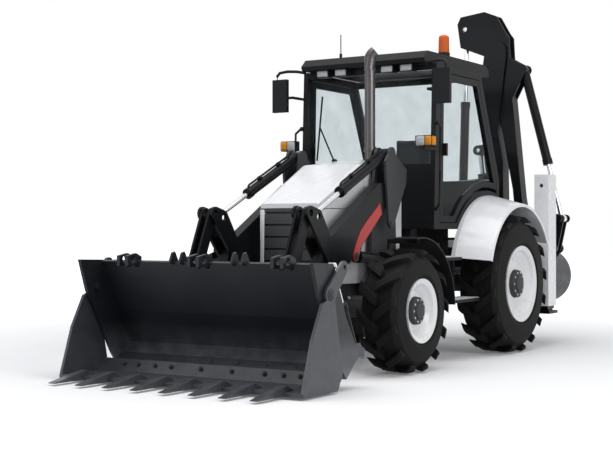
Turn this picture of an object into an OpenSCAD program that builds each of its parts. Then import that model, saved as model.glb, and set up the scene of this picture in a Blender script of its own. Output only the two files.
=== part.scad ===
/* [Wheels] */
// Distance between the front and rear axle
wheelbase = 2200; // [2000:10:2400]
// Radius of a rear tyre over its lugs
rear_tyre_r = 700; // [660:5:720]
// Width of a rear tyre
rear_tyre_w = 430; // [380:5:450]
// Radius of a rear rim at its flange
rear_rim_r = 385; // [350:5:410]
// Radius of a front tyre over its lugs
front_tyre_r = 545; // [510:5:560]
// Width of a front tyre
front_tyre_w = 380; // [340:5:390]
// Radius of a front rim at its flange
front_rim_r = 280; // [265:5:300]
// Distance of every tyre's outer face from the middle of the machine
tyre_out_y = 1137; // [1120:1:1150]
// Height of a tyre lug above the carcass
lug_h = 42; // [20:1:48]
// Number of lugs in each row of a front tyre
front_lugs = 13; // [10:1:16]
// Number of lugs in each row of a rear tyre
rear_lugs = 16; // [12:1:20]
// Distance of a kingpin from the middle of the machine
kingpin_y = 840; // [830:1:850]

/* [Frame] */
// Half width over the frame rails
rail_y = 300; // [280:5:310]
// Height of the underside of the rails
rail_z = 640; // [620:5:660]
// Height of the rails
rail_h = 190; // [150:5:210]
// Thickness of heavy steel plate
plate_t = 30; // [20:1:32]
// Thickness of body sheet
skin_t = 12; // [8:1:14]

/* [Hood] */
// Half width of the hood at its front edge
hood_front_y = 304; // [280:2:320]
// Half width of the hood at its rear edge
hood_rear_y = 400; // [380:2:410]
// Height of the hood at its front edge
hood_front_z = 1482; // [1460:2:1500]
// Height of the hood at its rear edge
hood_rear_z = 1930; // [1900:2:1940]
// Front end of the hood, ahead of the rear axle
hood_front_x = 2588; // [2560:2:2600]
// Seam between the fixed cowl and the hood lid, ahead of the rear axle
hood_seam_x = 1860; // [1840:2:1880]
// Diameter of the exhaust stack
stack_d = 100; // [80:2:110]
// Height of the top of the exhaust stack
stack_z = 2840; // [2700:10:2950]

/* [Cab] */
// Half width over the cab walls
cab_y = 750; // [730:2:760]
// Thickness of a cab wall and of a door
cab_wall = 50; // [40:1:55]
// Height of the cab sill
sill_z = 1255; // [1240:5:1270]
// Height of the underside of the roof
eave_z = 2840; // [2800:5:2860]
// Height of the top of the roof
roof_z = 2954; // [2940:2:2980]
// Thickness of a pane
pane_t = 8; // [5:1:10]
// Gap round a door
door_gap = 8; // [6:1:12]

/* [Fenders] */
// Gap between a rear tyre and the outer lip of its fender
fender_lip_gap = 110; // [90:2:130]
// Radius of the inner edge of a rear fender about the wheel
fender_root_r = 900; // [880:2:920]
// Inner edge of a rear fender from the middle of the machine
fender_in_y = 790; // [785:1:800]
// Outer lip of a rear fender from the middle of the machine
fender_out_y = 1140; // [1120:2:1150]
// Radius of a front mudguard about the wheel
guard_r = 640; // [610:5:660]
// Width of a front mudguard
guard_w = 230; // [180:5:240]

/* [Loader] */
// Width of the loader bucket
bucket_w = 2400; // [2300:10:2500]
// Thickness of the bucket plates
bucket_t = 30; // [20:1:32]
// Distance of the middle of a loader arm from the middle of the machine
arm_y = 490; // [485:1:492]
// Width of a loader arm
arm_w = 100; // [80:2:104]
// Radius of the loader's pivot pins
pin_r = 35; // [25:1:38]
// Number of bucket teeth
tooth_count = 8; // [6:1:9]
// Length of a bucket tooth in front of the cutting edge
tooth_l = 320; // [200:5:330]
// Diameter of the lift cylinder barrels
lift_d = 110; // [80:2:112]
// Diameter of the tilt cylinder barrels
tilt_d = 90; // [70:2:96]
// Share of a barrel's diameter that its rod has
rod_share = 0.5; // [0.4:0.01:0.6]
// Radius of the bore for a pallet fork shaft in the hook brackets
fork_r = 30; // [20:1:32]

/* [Backhoe] */
// Distance of the plane of the boom behind the rear axle
hoe_x = 1250; // [1240:1:1260]
// Width of the boom
boom_w = 170; // [150:2:180]
// Width of the dipper
dipper_w = 150; // [130:2:160]
// Width of the hoe bucket
hoe_bucket_w = 450; // [400:5:456]
// Diameter of the boom ram's barrel
boom_ram_d = 104; // [90:2:106]
// Diameter of the dipper ram's and the bucket ram's barrel
ram_d = 100; // [80:2:110]
// Number of hoe bucket teeth
hoe_tooth_count = 4; // [3:1:6]
// Radius of the swing pin of the kingpost
swing_r = 45; // [35:1:50]

/* [Stabilisers] */
// Width of a stabiliser post across the machine
post_w = 159; // [140:1:165]
// Depth of a stabiliser post along the machine
post_d = 220; // [200:2:224]
// Outer face of a stabiliser post from the middle of the machine
post_out_y = 1103; // [1095:1:1110]
// Wall of a stabiliser post
post_wall = 16; // [10:1:20]
// Height of the top of a stabiliser post
post_top_z = 1840; // [1800:5:1880]
// Radius of the locking pin hole in a post
lock_r = 20; // [12:1:24]

/* [Hidden] */
$fn = 48;

// Small overlap that fuses two pieces of one solid
lap = 1;
// Clearance round a running pin
fit = 0.05;
// Gap between faces of neighbouring bodies
gap = 6;

// Pins of the loader, as [ahead of the rear axle, height]
ARM = [1744, 1587];
BUCKET = [3270, 300];
LIFT_BASE = [1460, 950];
LIFT_EYE = [2330, 1017];
TILT_BASE = [1710, 1950];
TILT_EYE = [3000, 1360];
CRANK = [2770, 1000];
LINK_TOP = [3120, 1390];
LINK_LOW = [3420, 690];
CLAM = [3843, 758];
CLAM_BASE = [3300, 270];
CLAM_EYE = [3640, 960];
// Pins of the backhoe in its own plane, as [left of the middle, height]
FOOT = [330, 800];
ELBOW = [330, 3250];
DIP_PIN = [660, 1130];
BOOM_BASE = [220, 1025];
BOOM_EYE = [100, 2150];
DIPPER_BASE = [-115, 1750];
DIPPER_EYE = [-60, 3540];
HOE_BASE = [639, 3035];
IDLER = [640, 1400];
HOE_EYE = [1080, 1370];
HOE_LUG = [1005, 1040];

cutting_x = 4230;
tooth_tip_x = cutting_x + tooth_l;
rear_end_x = -(hoe_x + hoe_bucket_w / 2);
mid_x = (tooth_tip_x + rear_end_x) / 2;
bucket_y = bucket_w / 2;
rear_tyre_in_y = tyre_out_y - rear_tyre_w;
fender_lip_r = rear_tyre_r + fender_lip_gap;
front_tyre_in_y = tyre_out_y - front_tyre_w;
post_x = -(hoe_x - hoe_bucket_w / 2 - 15);
post_in_y = post_out_y - post_w;

// Moves a piece from the rear axle's frame to the middle of the machine's footprint
module placed() translate([-mid_x, 0, 0]) children();

// Flat outline in the machine's side plane, thick from y0 to y1
module side_plate(y0, y1) translate([0, y1, 0]) rotate([90, 0, 0]) linear_extrude(y1 - y0) children();

// The same outline on both sides of the machine
module side_plates(y0, y1) {
    side_plate(y0, y1) children();
    side_plate(-y1, -y0) children();
}

// Flat outline in the backhoe's plane, from x0 to x1 ahead of the plane's middle
module hoe_plate(x0, x1) translate([x0 - hoe_x, 0, 0]) rotate([90, 0, 90]) linear_extrude(x1 - x0)
    children();

// Round bar across the machine
module cross_bar(p, r, y0, y1) translate([p[0], y0, p[1]]) rotate([-90, 0, 0]) cylinder(r = r, h = y1 - y0);

// Round bar across the backhoe's plane
module hoe_bar(p, r, x0, x1) translate([x0 - hoe_x, p[0], p[1]]) rotate([0, 90, 0])
    cylinder(r = r, h = x1 - x0);

function way(a, b) = (b - a) / norm(b - a);
function left_of(u) = [-u[1], u[0]];
function turn_of(a, b) = atan2(b[1] - a[1], b[0] - a[0]);

// Flat link between two eyes with round ends
module link_2d(a, b, ra, rb) {
    n = left_of(way(a, b));
    translate(a) circle(ra);
    translate(b) circle(rb);
    polygon([a + n * ra, b + n * rb, b - n * rb, a - n * ra]);
}

// Round bar in the side plane from s0 to s1 along the line from a to b
module side_rod(a, b, s0, s1, r, y)
    translate([a[0], y, a[1]]) rotate([0, 90 - turn_of(a, b), 0]) translate([0, 0, s0])
        cylinder(r = r, h = s1 - s0);

// Round bar in the backhoe's plane from s0 to s1 along the line from a to b
module hoe_rod_bar(a, b, s0, s1, r)
    translate([-hoe_x, a[0], a[1]]) rotate([turn_of(a, b) - 90, 0, 0]) translate([0, 0, s0])
        cylinder(r = r, h = s1 - s0);

// Chassis

axle_r = 80;
rear_axle_r = 95;
seat_fit = 0.3;
outrigger_x = [300, 1000];
outrigger_y = 450;
outrigger_w = 120;
rail_w = 80;
grille_t = 108;
axle_seat_l = 190;
rail_front_x = max(hood_front_x - grille_t, wheelbase + axle_seat_l);
rail_rear_x = -900;
saddle_x = [1400, 1880];
saddle_h = 80;
tower_in_y = arm_y - arm_w / 2 - gap - plate_t;
tower_out_y = arm_y + arm_w / 2 + gap;
tower_t = 24;
tower_head_r = 62;

// Inner plate of a loader tower, down to the saddle
module tower_inner_2d() {
    polygon([[saddle_x[0], rail_z], [saddle_x[1], rail_z], [1850, 1500], [1770, TILT_BASE[1]],
        [1650, TILT_BASE[1]], [1420, 1700], [1390, 1160]]);
    translate(TILT_BASE) circle(tower_head_r);
}

// Outer shield plate of a loader tower
module tower_outer_2d() {
    polygon([[1839, 1878], [1770, TILT_BASE[1]], [1650, TILT_BASE[1]], [1430, 1812], [1440, 1690],
        [1690, 1270], [1744, 1264], [1780, 1310]]);
    translate(TILT_BASE) circle(tower_head_r);
}

module tower_pins(y0, y1) {
    cross_bar(ARM, pin_r, y0, y1);
    cross_bar(TILT_BASE, pin_r - 5, y0, y1);
    cross_bar([1500, 1770], 28, y0, y1);
    cross_bar([1725, 1310], 28, tower_out_y + lap, tower_out_y + tower_t + 8);
}

module frame() color("dimgray") placed() {
    side_plates(rail_y - rail_w, rail_y) difference() {
        translate([rail_rear_x, rail_z]) square([rail_front_x - rail_rear_x, rail_h]);
        translate([0, rear_tyre_r]) circle(rear_axle_r + seat_fit);
    }
    for (x = [rail_rear_x, 300, rail_front_x - 100])
        translate([x, -rail_y, rail_z]) cube([100, 2 * rail_y, rail_h]);
    translate([saddle_x[0], -tower_in_y - plate_t, rail_z])
        cube([saddle_x[1] - saddle_x[0], 2 * (tower_in_y + plate_t), saddle_h]);
    translate([wheelbase - 90, -rail_y, axle_r + front_tyre_r])
        cube([180, 2 * rail_y, rail_z - axle_r - front_tyre_r + lap]);
    side_plates(tower_in_y, tower_in_y + plate_t) tower_inner_2d();
    side_plates(tower_out_y, tower_out_y + tower_t) tower_outer_2d();
    for (s = [0, 1]) mirror([0, s, 0]) {
        tower_pins(tower_in_y + lap, tower_out_y + lap);
        cross_bar(LIFT_BASE, pin_r, tower_in_y + lap, arm_y + arm_w / 2);
    }
    for (x = outrigger_x) translate([x, -outrigger_y, rail_z + rail_h - lap])
        cube([outrigger_w, 2 * outrigger_y, sill_z - rail_z - rail_h + lap]);
}

engine_x = 1340;
engine_l = 1080;
engine_y = rail_y - rail_w + 20;
engine_h = 560;

module engine() color("gray") placed() {
    translate([engine_x, -engine_y, rail_z + rail_h]) cube([engine_l, 2 * engine_y, engine_h]);
}

lug_z = 115;
lug_t = 30;
yoke_y = kingpin_y - 75;
yoke_half = 42;
kingpin_r = 30;
spindle_r = 60;
rear_spindle_r = 70;
hub_out_y = tyre_out_y - 95;

module axles() color("dimgray") placed() {
    difference() {
        union() {
            cross_bar([wheelbase, front_tyre_r], axle_r, -yoke_y + 20, yoke_y - 20);
            translate([wheelbase, 0, front_tyre_r]) sphere(170);
            for (s = [0, 1]) mirror([0, s, 0]) {
                translate([wheelbase - yoke_half, yoke_y - 45, front_tyre_r - lug_z - lug_t])
                    cube([2 * yoke_half, 30, 2 * (lug_z + lug_t)]);
                for (t = [-lug_z - lug_t, lug_z])
                    translate([wheelbase - 55, yoke_y - 45, front_tyre_r + t]) cube([110, 175, lug_t]);
            }
        }
        for (s = [-1, 1]) translate([wheelbase, s * kingpin_y, front_tyre_r - 200])
            cylinder(r = kingpin_r + fit, h = 400);
        translate([wheelbase - 200, -200, front_tyre_r + axle_r]) cube([400, 400, 200]);
    }
    cross_bar([0, rear_tyre_r], rear_axle_r, -rear_tyre_in_y + 20, rear_tyre_in_y - 20);
    translate([0, 0, rear_tyre_r]) sphere(200);
    cross_bar([0, rear_tyre_r], rear_spindle_r, -hub_out_y, hub_out_y);
}

// Steering knuckle of the left wheel with its mudguard
module knuckle_solid() {
    translate([wheelbase - 50, yoke_y + 15, front_tyre_r - lug_z + gap])
        cube([100, 110, 2 * (lug_z - gap)]);
    translate([wheelbase, kingpin_y, front_tyre_r - lug_z - lug_t])
        cylinder(r = kingpin_r, h = 2 * (lug_z + lug_t));
    cross_bar([wheelbase, front_tyre_r], spindle_r, yoke_y + 100, hub_out_y);
    guard_arm_z = front_tyre_r + 86;
    guard_top_z = front_tyre_r + guard_r - 60;
    translate([wheelbase - 150, yoke_y + 30, guard_arm_z]) cube([110, 40, 20]);
    translate([wheelbase - 150, front_tyre_in_y - 35, guard_arm_z])
        cube([40, yoke_y + 70 - front_tyre_in_y + 35, 20]);
    translate([wheelbase - 150, front_tyre_in_y - 35, guard_arm_z])
        cube([40, 20, guard_top_z + 40 - guard_arm_z]);
    translate([wheelbase - 150, front_tyre_in_y - 35, guard_top_z]) cube([40, 300, 40]);
    translate([wheelbase, 0, front_tyre_r]) rotate([90, 0, 0]) rotate([0, 0, 80])
        rotate_extrude(angle = 98, $fn = 96)
        translate([guard_r - skin_t, -tyre_out_y]) square([skin_t, guard_w]);
}

module knuckle_left() color("#26282b") placed() knuckle_solid();
module knuckle_right() color("#26282b") placed() mirror([0, 1, 0]) knuckle_solid();

// Wheels, drawn about the Y axis with the outer face at the origin

shoulder = 60;
wall_in = 16;
crown_drop = 12;
crown_half = 70;
bulge = 40;
bead_h = 15;
bead_y = 20.6;
lug_in = 6;
lug_w = 78;
lug_slant = 38;

// Section of the tyre under its lugs, as [radius, distance from the outer face]
module carcass_2d(r, w, rim_r) polygon([[rim_r - bead_h, bead_y], [rim_r + lap, bead_y], [rim_r + bulge, 0],
    [r - shoulder, wall_in], [r - crown_drop, shoulder], [r - crown_drop, w - shoulder],
        [r - shoulder, w - wall_in],
    [rim_r + bulge, w], [rim_r + lap, w - bead_y], [rim_r - bead_h, w - bead_y]]);

// Section that bounds the lugs, with a flat crown and chamfered shoulders
module tread_2d(r, root, w) polygon([[root, lug_in], [r - shoulder / 2, lug_in],
    [r - crown_drop, shoulder / 2],
    [r, w / 2 - crown_half], [r, w / 2 + crown_half], [r - crown_drop, w - shoulder / 2],
    [r - shoulder / 2, w - lug_in], [root, w - lug_in]]);

// Slanted lug from the middle of the tread to the outer shoulder, with one upper corner at angle 0
module lug(r, root, w) rotate([0, 0, asin(lug_w / 2 / r)]) translate([root, 0, 0]) rotate([90, 0, 90])
    linear_extrude(r - root + lap) polygon([[-lug_w / 2, w / 2 + lug_w / 8], [lug_w / 2, w / 2 + lug_w / 8],
        [w / 2 * tan(lug_slant) + lug_w * 0.6, 0], [w / 2 * tan(lug_slant) - lug_w * 0.6, 0]]);

// Facets around a tyre
tread_fn = 64;

// Tyre with two rows of lugs that meet in a chevron, half a pitch apart
module tyre_solid(r, w, rim_r, count) rotate([90, 0, 0]) {
    seam = 360 / tread_fn;
    rotate([0, 0, seam]) rotate_extrude($fn = tread_fn) carcass_2d(r - lug_h, w, rim_r);
    intersection() {
        rotate([0, 0, seam]) rotate_extrude($fn = tread_fn) tread_2d(r, r - lug_h - shoulder / 2, w);
        for (k = [0 : count - 1]) {
            rotate([0, 0, k * 360 / count - 90]) lug(r, r - lug_h - shoulder / 2, w);
            translate([0, 0, w]) mirror([0, 0, 1]) rotate([0, 0, (k + 0.5) * 360 / count - 90])
                lug(r, r - lug_h - shoulder / 2, w);
        }
    }
}

// Rim with its dish, open towards the machine
module rim_solid(r, w, bore) {
    disc_y = 70;
    well_r = r - bead_h - seat_fit;
    rotate([90, 0, 0]) rotate_extrude($fn = 96) polygon([[bore + fit, disc_y], [bore + 45, disc_y],
        [bore + 55, disc_y + 12], [r * 0.62, disc_y + 30], [r - 60, disc_y - 20], [r - 42, 20], [r, 4],
            [r, 20],
        [well_r, 20], [well_r, w - 20], [r, w - 20], [r, w - 4], [r - 42, w - 10], [r - 42, disc_y + 20],
        [r * 0.62, disc_y + 60], [bore + 45, disc_y + 90], [bore + fit, disc_y + 90]]);
}

module wheel_at(x, z, side) placed() translate([x, 0, z]) mirror([0, side < 0 ? 1 : 0, 0])
    translate([0, tyre_out_y, 0]) children();

module tyre_fl() color("#1d1e20") wheel_at(wheelbase, front_tyre_r, 1)
    tyre_solid(front_tyre_r, front_tyre_w, front_rim_r, front_lugs);
module tyre_fr() color("#1d1e20") wheel_at(wheelbase, front_tyre_r, -1)
    tyre_solid(front_tyre_r, front_tyre_w, front_rim_r, front_lugs);
module tyre_rl() color("#1d1e20") wheel_at(0, rear_tyre_r, 1)
    tyre_solid(rear_tyre_r, rear_tyre_w, rear_rim_r, rear_lugs);
module tyre_rr() color("#1d1e20") wheel_at(0, rear_tyre_r, -1)
    tyre_solid(rear_tyre_r, rear_tyre_w, rear_rim_r, rear_lugs);
module rim_fl() color("white") wheel_at(wheelbase, front_tyre_r, 1)
    rim_solid(front_rim_r, front_tyre_w, spindle_r);
module rim_fr() color("white") wheel_at(wheelbase, front_tyre_r, -1)
    rim_solid(front_rim_r, front_tyre_w, spindle_r);
module rim_rl() color("white") wheel_at(0, rear_tyre_r, 1)
    rim_solid(rear_rim_r, rear_tyre_w, rear_spindle_r);
module rim_rr() color("white") wheel_at(0, rear_tyre_r, -1)
    rim_solid(rear_rim_r, rear_tyre_w, rear_spindle_r);

// Hood and grille

hood_round = 80;
hood_mid_z = 1860;
cowl_rear_x = 1220;
stack_seat_z = 1602;
panel_z = 760;
lid_low_z = 1440;

// Slice of the hood at x with half width w and crown at height top
module hood_slice(x, w, top, low, r) translate([x, 0, 0]) {
    for (s = [-1, 1]) translate([0, s * (w - r), top - r]) rotate([0, 90, 0])
        cylinder(r = r, h = 1, $fn = 32);
    translate([0, -w, low]) cube([1, 2 * w, 1]);
}

function hood_y(x) = hood_front_y + (hood_rear_y - hood_front_y) * (hood_front_x - x) / (hood_front_x - cowl_rear_x);

module hood() color("white") placed() difference() {
    hull() {
        hood_slice(hood_front_x - 1, hood_front_y, hood_front_z, lid_low_z, 20);
        hood_slice(hood_seam_x + gap, hood_y(hood_seam_x), hood_mid_z, lid_low_z, hood_round);
    }
    hull() {
        hood_slice(hood_front_x - skin_t, hood_front_y - skin_t, hood_front_z - skin_t,
            lid_low_z - skin_t, 12);
        hood_slice(hood_seam_x - skin_t, hood_y(hood_seam_x) - skin_t, hood_mid_z - skin_t,
            lid_low_z - skin_t, hood_round);
    }
}

stack_p = [1710, 330];

module hood_cowl() color("white") placed() {
    difference() {
        hull() {
            hood_slice(hood_seam_x - 1, hood_y(hood_seam_x), hood_mid_z, lid_low_z, hood_round);
            hood_slice(cowl_rear_x, hood_rear_y, hood_rear_z, lid_low_z, hood_round);
        }
        hull() {
            hood_slice(hood_seam_x + 1, hood_y(hood_seam_x) - skin_t, hood_mid_z - skin_t,
                lid_low_z - skin_t, hood_round);
            hood_slice(cowl_rear_x - 2, hood_rear_y - skin_t, hood_rear_z - skin_t, lid_low_z - skin_t,
                hood_round);
        }
        translate([stack_p[0], stack_p[1], hood_front_z]) cylinder(r = stack_d / 2 + seat_fit, h = 600);
    }
    for (s = [-1, 1]) hull() {
        translate([cowl_rear_x, s * (hood_rear_y - skin_t / 2) - skin_t / 2, panel_z])
            cube([1, skin_t, lid_low_z - gap - panel_z]);
        translate([grille_x - lap, s * (hood_y(grille_x) - skin_t / 2 + lap) - skin_t / 2, panel_z])
            cube([lap, skin_t, lid_low_z - gap - panel_z]);
    }
    for (s = [-1, 1]) translate([cowl_rear_x, s * (hood_rear_y - skin_t / 2) - skin_t / 2,
        lid_low_z - gap - lap])
        cube([60, skin_t, gap + 2 * lap]);
    translate([cowl_rear_x, -hood_rear_y + lap, rail_z + rail_h])
        cube([skin_t, 2 * (hood_rear_y - lap), hood_mid_z - hood_round - rail_z - rail_h]);
    translate([stack_p[0] - 50, 270, stack_seat_z - skin_t]) cube([100, 90, skin_t]);
}

grille_x = hood_front_x - grille_t;
groove_count = 5;
groove_h = 18;
groove_d = 40;
grille_low_z = panel_z + 90;
band_h = (lid_low_z - 50 - grille_low_z) / groove_count;

module grille() color("gray") placed() difference() {
    translate([grille_x, -hood_front_y, panel_z])
        cube([hood_front_x - grille_x, 2 * hood_front_y, lid_low_z - gap - panel_z]);
    for (k = [0 : groove_count]) translate([hood_front_x - groove_d, -hood_front_y + 40,
        grille_low_z + k * band_h])
        cube([2 * groove_d, 2 * hood_front_y - 80, groove_h]);
}

module exhaust() color("#303236") placed() translate([stack_p[0], stack_p[1], 0]) difference() {
    union() {
        translate([0, 0, stack_seat_z]) cylinder(d = stack_d, h = stack_z - stack_seat_z);
        translate([0, 0, 1980]) cylinder(d = stack_d + 20, h = 40);
    }
    translate([0, 0, hood_rear_z]) cylinder(d = stack_d - 16, h = 1200);
    translate([0, 0, stack_z]) rotate([0, -30, 0]) translate([-200, -200, 0]) cube([400, 400, 200]);
}

// Cab

cab_front_low = [1220, sill_z];
cab_front_top = [1160, eave_z];
cab_rear_top = [166, eave_z];
cab_rear_mid = [-300, 1768];
arch_r = fender_root_r - 70;
post_band = 70;
arch_band = 50;
swing_drop = 26;
door_front_x = 1100;
door_low_z = sill_z + 60;
door_top_z = eave_z - 72;

// Side outline of the cab
module cab_side_2d() difference() {
    polygon([cab_front_low - [0, lap], cab_front_top, cab_rear_top, cab_rear_mid,
        [cab_rear_mid[0], sill_z - lap]]);
    translate([0, rear_tyre_r]) circle(arch_r, $fn = 96);
}

// Door opening set in by g from its edge
module door_2d(g) {
    slope = way(cab_rear_mid, cab_rear_top);
    low = cab_rear_mid + [slope[1], -slope[0]] * (post_band + g);
    top = cab_rear_top + [slope[1], -slope[0]] * (post_band + g);
    reach = (door_top_z - g - top[1]) / slope[1];
    difference() {
        polygon([[door_front_x - g, door_low_z + g], [door_front_x - 30 - g, door_top_z - g],
            top + slope * reach,
            low, [low[0], door_low_z + g]]);
        translate([0, rear_tyre_r]) circle(fender_root_r + arch_band + g + (g > 0 ? swing_drop : 0),
            $fn = 96);
    }
}

cab_in_y = cab_y - cab_wall;
dash_z = 1880;
floor_t = 50;

// Slanted wall between two points of the side outline, t thick and a little inside it
module cab_wall_2d(a, b, t) {
    n = left_of(way(a, b));
    polygon([a + n * lap, b + n * lap, b + n * t, a + n * t]);
}

// Height of the bars over the front and rear panes
header_h = 60;

function along(a, b, z) = a + (b - a) * (z - a[1]) / (b[1] - a[1]);
function front_at(z) = along(cab_front_low, cab_front_top, z);
function rear_at(z) = along(cab_rear_mid, cab_rear_top, z);

module cab_frame() color("#1f2124") placed() {
    side_plates(cab_in_y, cab_y) difference() {
        cab_side_2d();
        door_2d(0);
    }
    translate([cab_rear_mid[0] + cab_wall / 2, -cab_in_y - 2 * lap, sill_z])
        cube([cab_front_low[0] - cab_rear_mid[0] - cab_wall, 2 * (cab_in_y + 2 * lap), floor_t]);
    side_plates(cab_in_y - skin_t, cab_in_y + lap) intersection() {
        translate([0, rear_tyre_r]) circle(arch_r + 30, $fn = 96);
        translate([cab_rear_mid[0] + cab_wall / 2, sill_z + floor_t / 2]) square([1000, 600]);
    }
    side_plate(-cab_in_y - lap, cab_in_y + lap)
        cab_wall_2d(front_at(sill_z + 4 * lap), front_at(dash_z), cab_wall);
    side_plate(-cab_in_y - lap, cab_in_y + lap)
        cab_wall_2d(front_at(eave_z - header_h), front_at(eave_z - 4 * lap), cab_wall);
    side_plate(-cab_in_y - lap, cab_in_y + lap)
        cab_wall_2d(rear_at(eave_z - 4 * lap), rear_at(eave_z - header_h), cab_wall);
    translate([cab_rear_mid[0] + lap, -cab_in_y - 3 * lap, sill_z + lap])
        cube([cab_wall, 2 * (cab_in_y + 3 * lap), cab_rear_mid[1] - sill_z - 2 * lap]);
}

// Pane across the cab between two points of the side outline
module cab_pane(a, b) {
    u = way(a, b) * seat_fit;
    n = left_of(way(a, b));
    inset = (cab_wall - pane_t) / 2;
    side_plate(-cab_in_y + seat_fit, cab_in_y - seat_fit)
        polygon([a + u + n * inset, b - u + n * inset, b - u + n * (inset + pane_t),
            a + u + n * (inset + pane_t)]);
}

module cab_glass() color("#6f8a90", 0.5) placed() {
    cab_pane(front_at(dash_z), front_at(eave_z - header_h));
    cab_pane(rear_at(eave_z - header_h), rear_at(cab_rear_mid[1] + cab_wall / 4));
}

module door_solid() {
    difference() {
        side_plate(cab_in_y, cab_y) door_2d(door_gap);
        side_plate(cab_in_y - lap, cab_y + lap) door_2d(door_gap + 60);
    }
    translate([door_front_x - 100, cab_y - lap, 1960]) cube([30, 40, 120]);
}

module door_pane() side_plate(cab_y - cab_wall / 2 - pane_t / 2, cab_y - cab_wall / 2 + pane_t / 2)
    door_2d(door_gap + 60);

module door_left() color("#1f2124") placed() door_solid();
module door_right() color("#1f2124") placed() mirror([0, 1, 0]) door_solid();
module door_glass_left() color("#6f8a90", 0.5) placed() door_pane();
module door_glass_right() color("#6f8a90", 0.5) placed() mirror([0, 1, 0]) door_pane();

module cab_roof() color("#1f2124") placed() {
    side_plate(-cab_y + 60, cab_y - 60)
        polygon([[-170, eave_z], [1290, eave_z], [1310, eave_z + 40], [1230, roof_z],
        [-80, roof_z], [-170, eave_z + 60]]);
    translate([1100, -350, roof_z - lap]) cylinder(r = 14, h = 60);
    translate([1100, -350, roof_z]) cylinder(r = 5, h = 250);
}

module seat() color("#232427") placed() {
    translate([330, -120, sill_z + floor_t]) cube([240, 240, 250]);
    translate([230, -250, sill_z + floor_t + 250]) cube([520, 500, 130]);
    translate([190, -240, sill_z + floor_t + 380 - lap]) rotate([0, -10, 0]) cube([120, 480, 560]);
}

wheel_p = [850, 1840];

module dash() color("#2a2c2f") placed() {
    translate([900, -140, sill_z + floor_t]) cube([200, 280, 330]);
    side_rod([960, sill_z + floor_t + 300], wheel_p, 0, norm(wheel_p - [960, sill_z + floor_t + 300]),
        35, 0);
    translate([wheel_p[0], 0, wheel_p[1]])
        rotate([0, 90 - turn_of([960, sill_z + floor_t + 300], wheel_p), 0]) {
        rotate_extrude($fn = 64) translate([180, 0]) circle(15, $fn = 24);
        for (a = [0, 120, 240]) rotate([0, 0, a]) translate([0, -15, -8]) cube([180, 30, 16]);
    }
}

fender_from = 18;
fender_to = 150;

module rear_fenders() color("white") placed() for (s = [0, 1]) mirror([0, s, 0])
    translate([0, 0, rear_tyre_r]) rotate([90, 0, 0]) rotate([0, 0, fender_from])
        rotate_extrude(angle = fender_to - fender_from, $fn = 96)
        polygon([[fender_root_r, -cab_y], [fender_root_r, -fender_in_y], [fender_lip_r, -fender_out_y],
            [fender_lip_r - 30, -fender_out_y], [fender_lip_r - 30, -fender_out_y + skin_t],
            [fender_lip_r - skin_t, -fender_out_y + skin_t], [fender_root_r - skin_t, -fender_in_y],
                [fender_root_r - skin_t, -cab_y]]);

step_in_y = tower_out_y + 14;
tank_out_y = 764;
step_out_y = 1000;

// Tank, tool box and the two steps on each side
module side_steps() color("#2a2c2f") placed() for (s = [0, 1]) mirror([0, s, 0]) {
    translate([840, step_in_y, 650]) cube([610, tank_out_y - step_in_y, 310]);
    translate([1050, step_in_y, 960]) cube([430, step_out_y - step_in_y - 40, 30]);
    translate([1090, step_in_y, 990]) cube([470, tank_out_y - step_in_y - 20, 130]);
    translate([720, tank_out_y - lap, 560]) cube([620, step_out_y - tank_out_y + lap, 30]);
    for (x = [860, 1260]) translate([x, tank_out_y - lap, 560]) cube([40, 30, 420]);
    translate([900, rail_y, 700]) cube([200, step_in_y - rail_y + lap, 100]);
}

module lamps() color("orange") placed() {
    for (s = [0, 1]) mirror([0, s, 0]) {
        translate([1150, cab_y, 2000]) cube([300, 20, 30]);
        translate([1370, cab_y - 80, 2030]) cube([80, 170, 100]);
        for (y = [260, 470]) translate([1170, y - 70, eave_z - 75]) cube([90, 140, 75]);
    }
    translate([600, 550, roof_z]) cylinder(r = 60, h = 60);
    translate([600, 550, roof_z + 60]) cylinder(r = 50, h = 150);
}

module mirrors() color("#1f2124") placed() for (s = [0, 1]) mirror([0, s, 0]) {
    translate([1150, cab_y, 2560]) cube([220, 20, 25]);
    translate([1345, cab_y, 2560]) cube([25, 110, 25]);
    translate([1335, cab_y + 70, 2430]) cube([45, 170, 330]);
}

// Loader

arm_in_y = arm_y - arm_w / 2;
arm_out_y = arm_y + arm_w / 2;
boss_r = 85;
nose_r = 72;
bore = pin_r + fit;

arm_knee = [2900, 760];

module arm_2d() difference() {
    union() {
        translate(ARM) circle(boss_r);
        polygon([ARM + [-20, 82], [1895, 1675], [2838, 1139], [2985, 810], [2830, 695], [2674, 842],
            [2338, 1012],
            ARM + [-50, -68]]);
        link_2d(arm_knee, BUCKET, 95, nose_r);
    }
    translate(ARM) circle(bore);
}

// Bracket that carries the lift rod's eye under the arm
module bracket_2d() {
    polygon([[1980, 1560], [2560, 1140], [LIFT_EYE[0] + 55, LIFT_EYE[1] - 20],
        [LIFT_EYE[0] - 45, LIFT_EYE[1] - 30]]);
    translate(LIFT_EYE) circle(55);
}

bracket_t = 22;
lift_slot_r = 190;
eye_w = arm_w - 2 * bracket_t - 2 * gap;
crank_t = 24;
arm_tube_p = [2974, 668];

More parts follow.
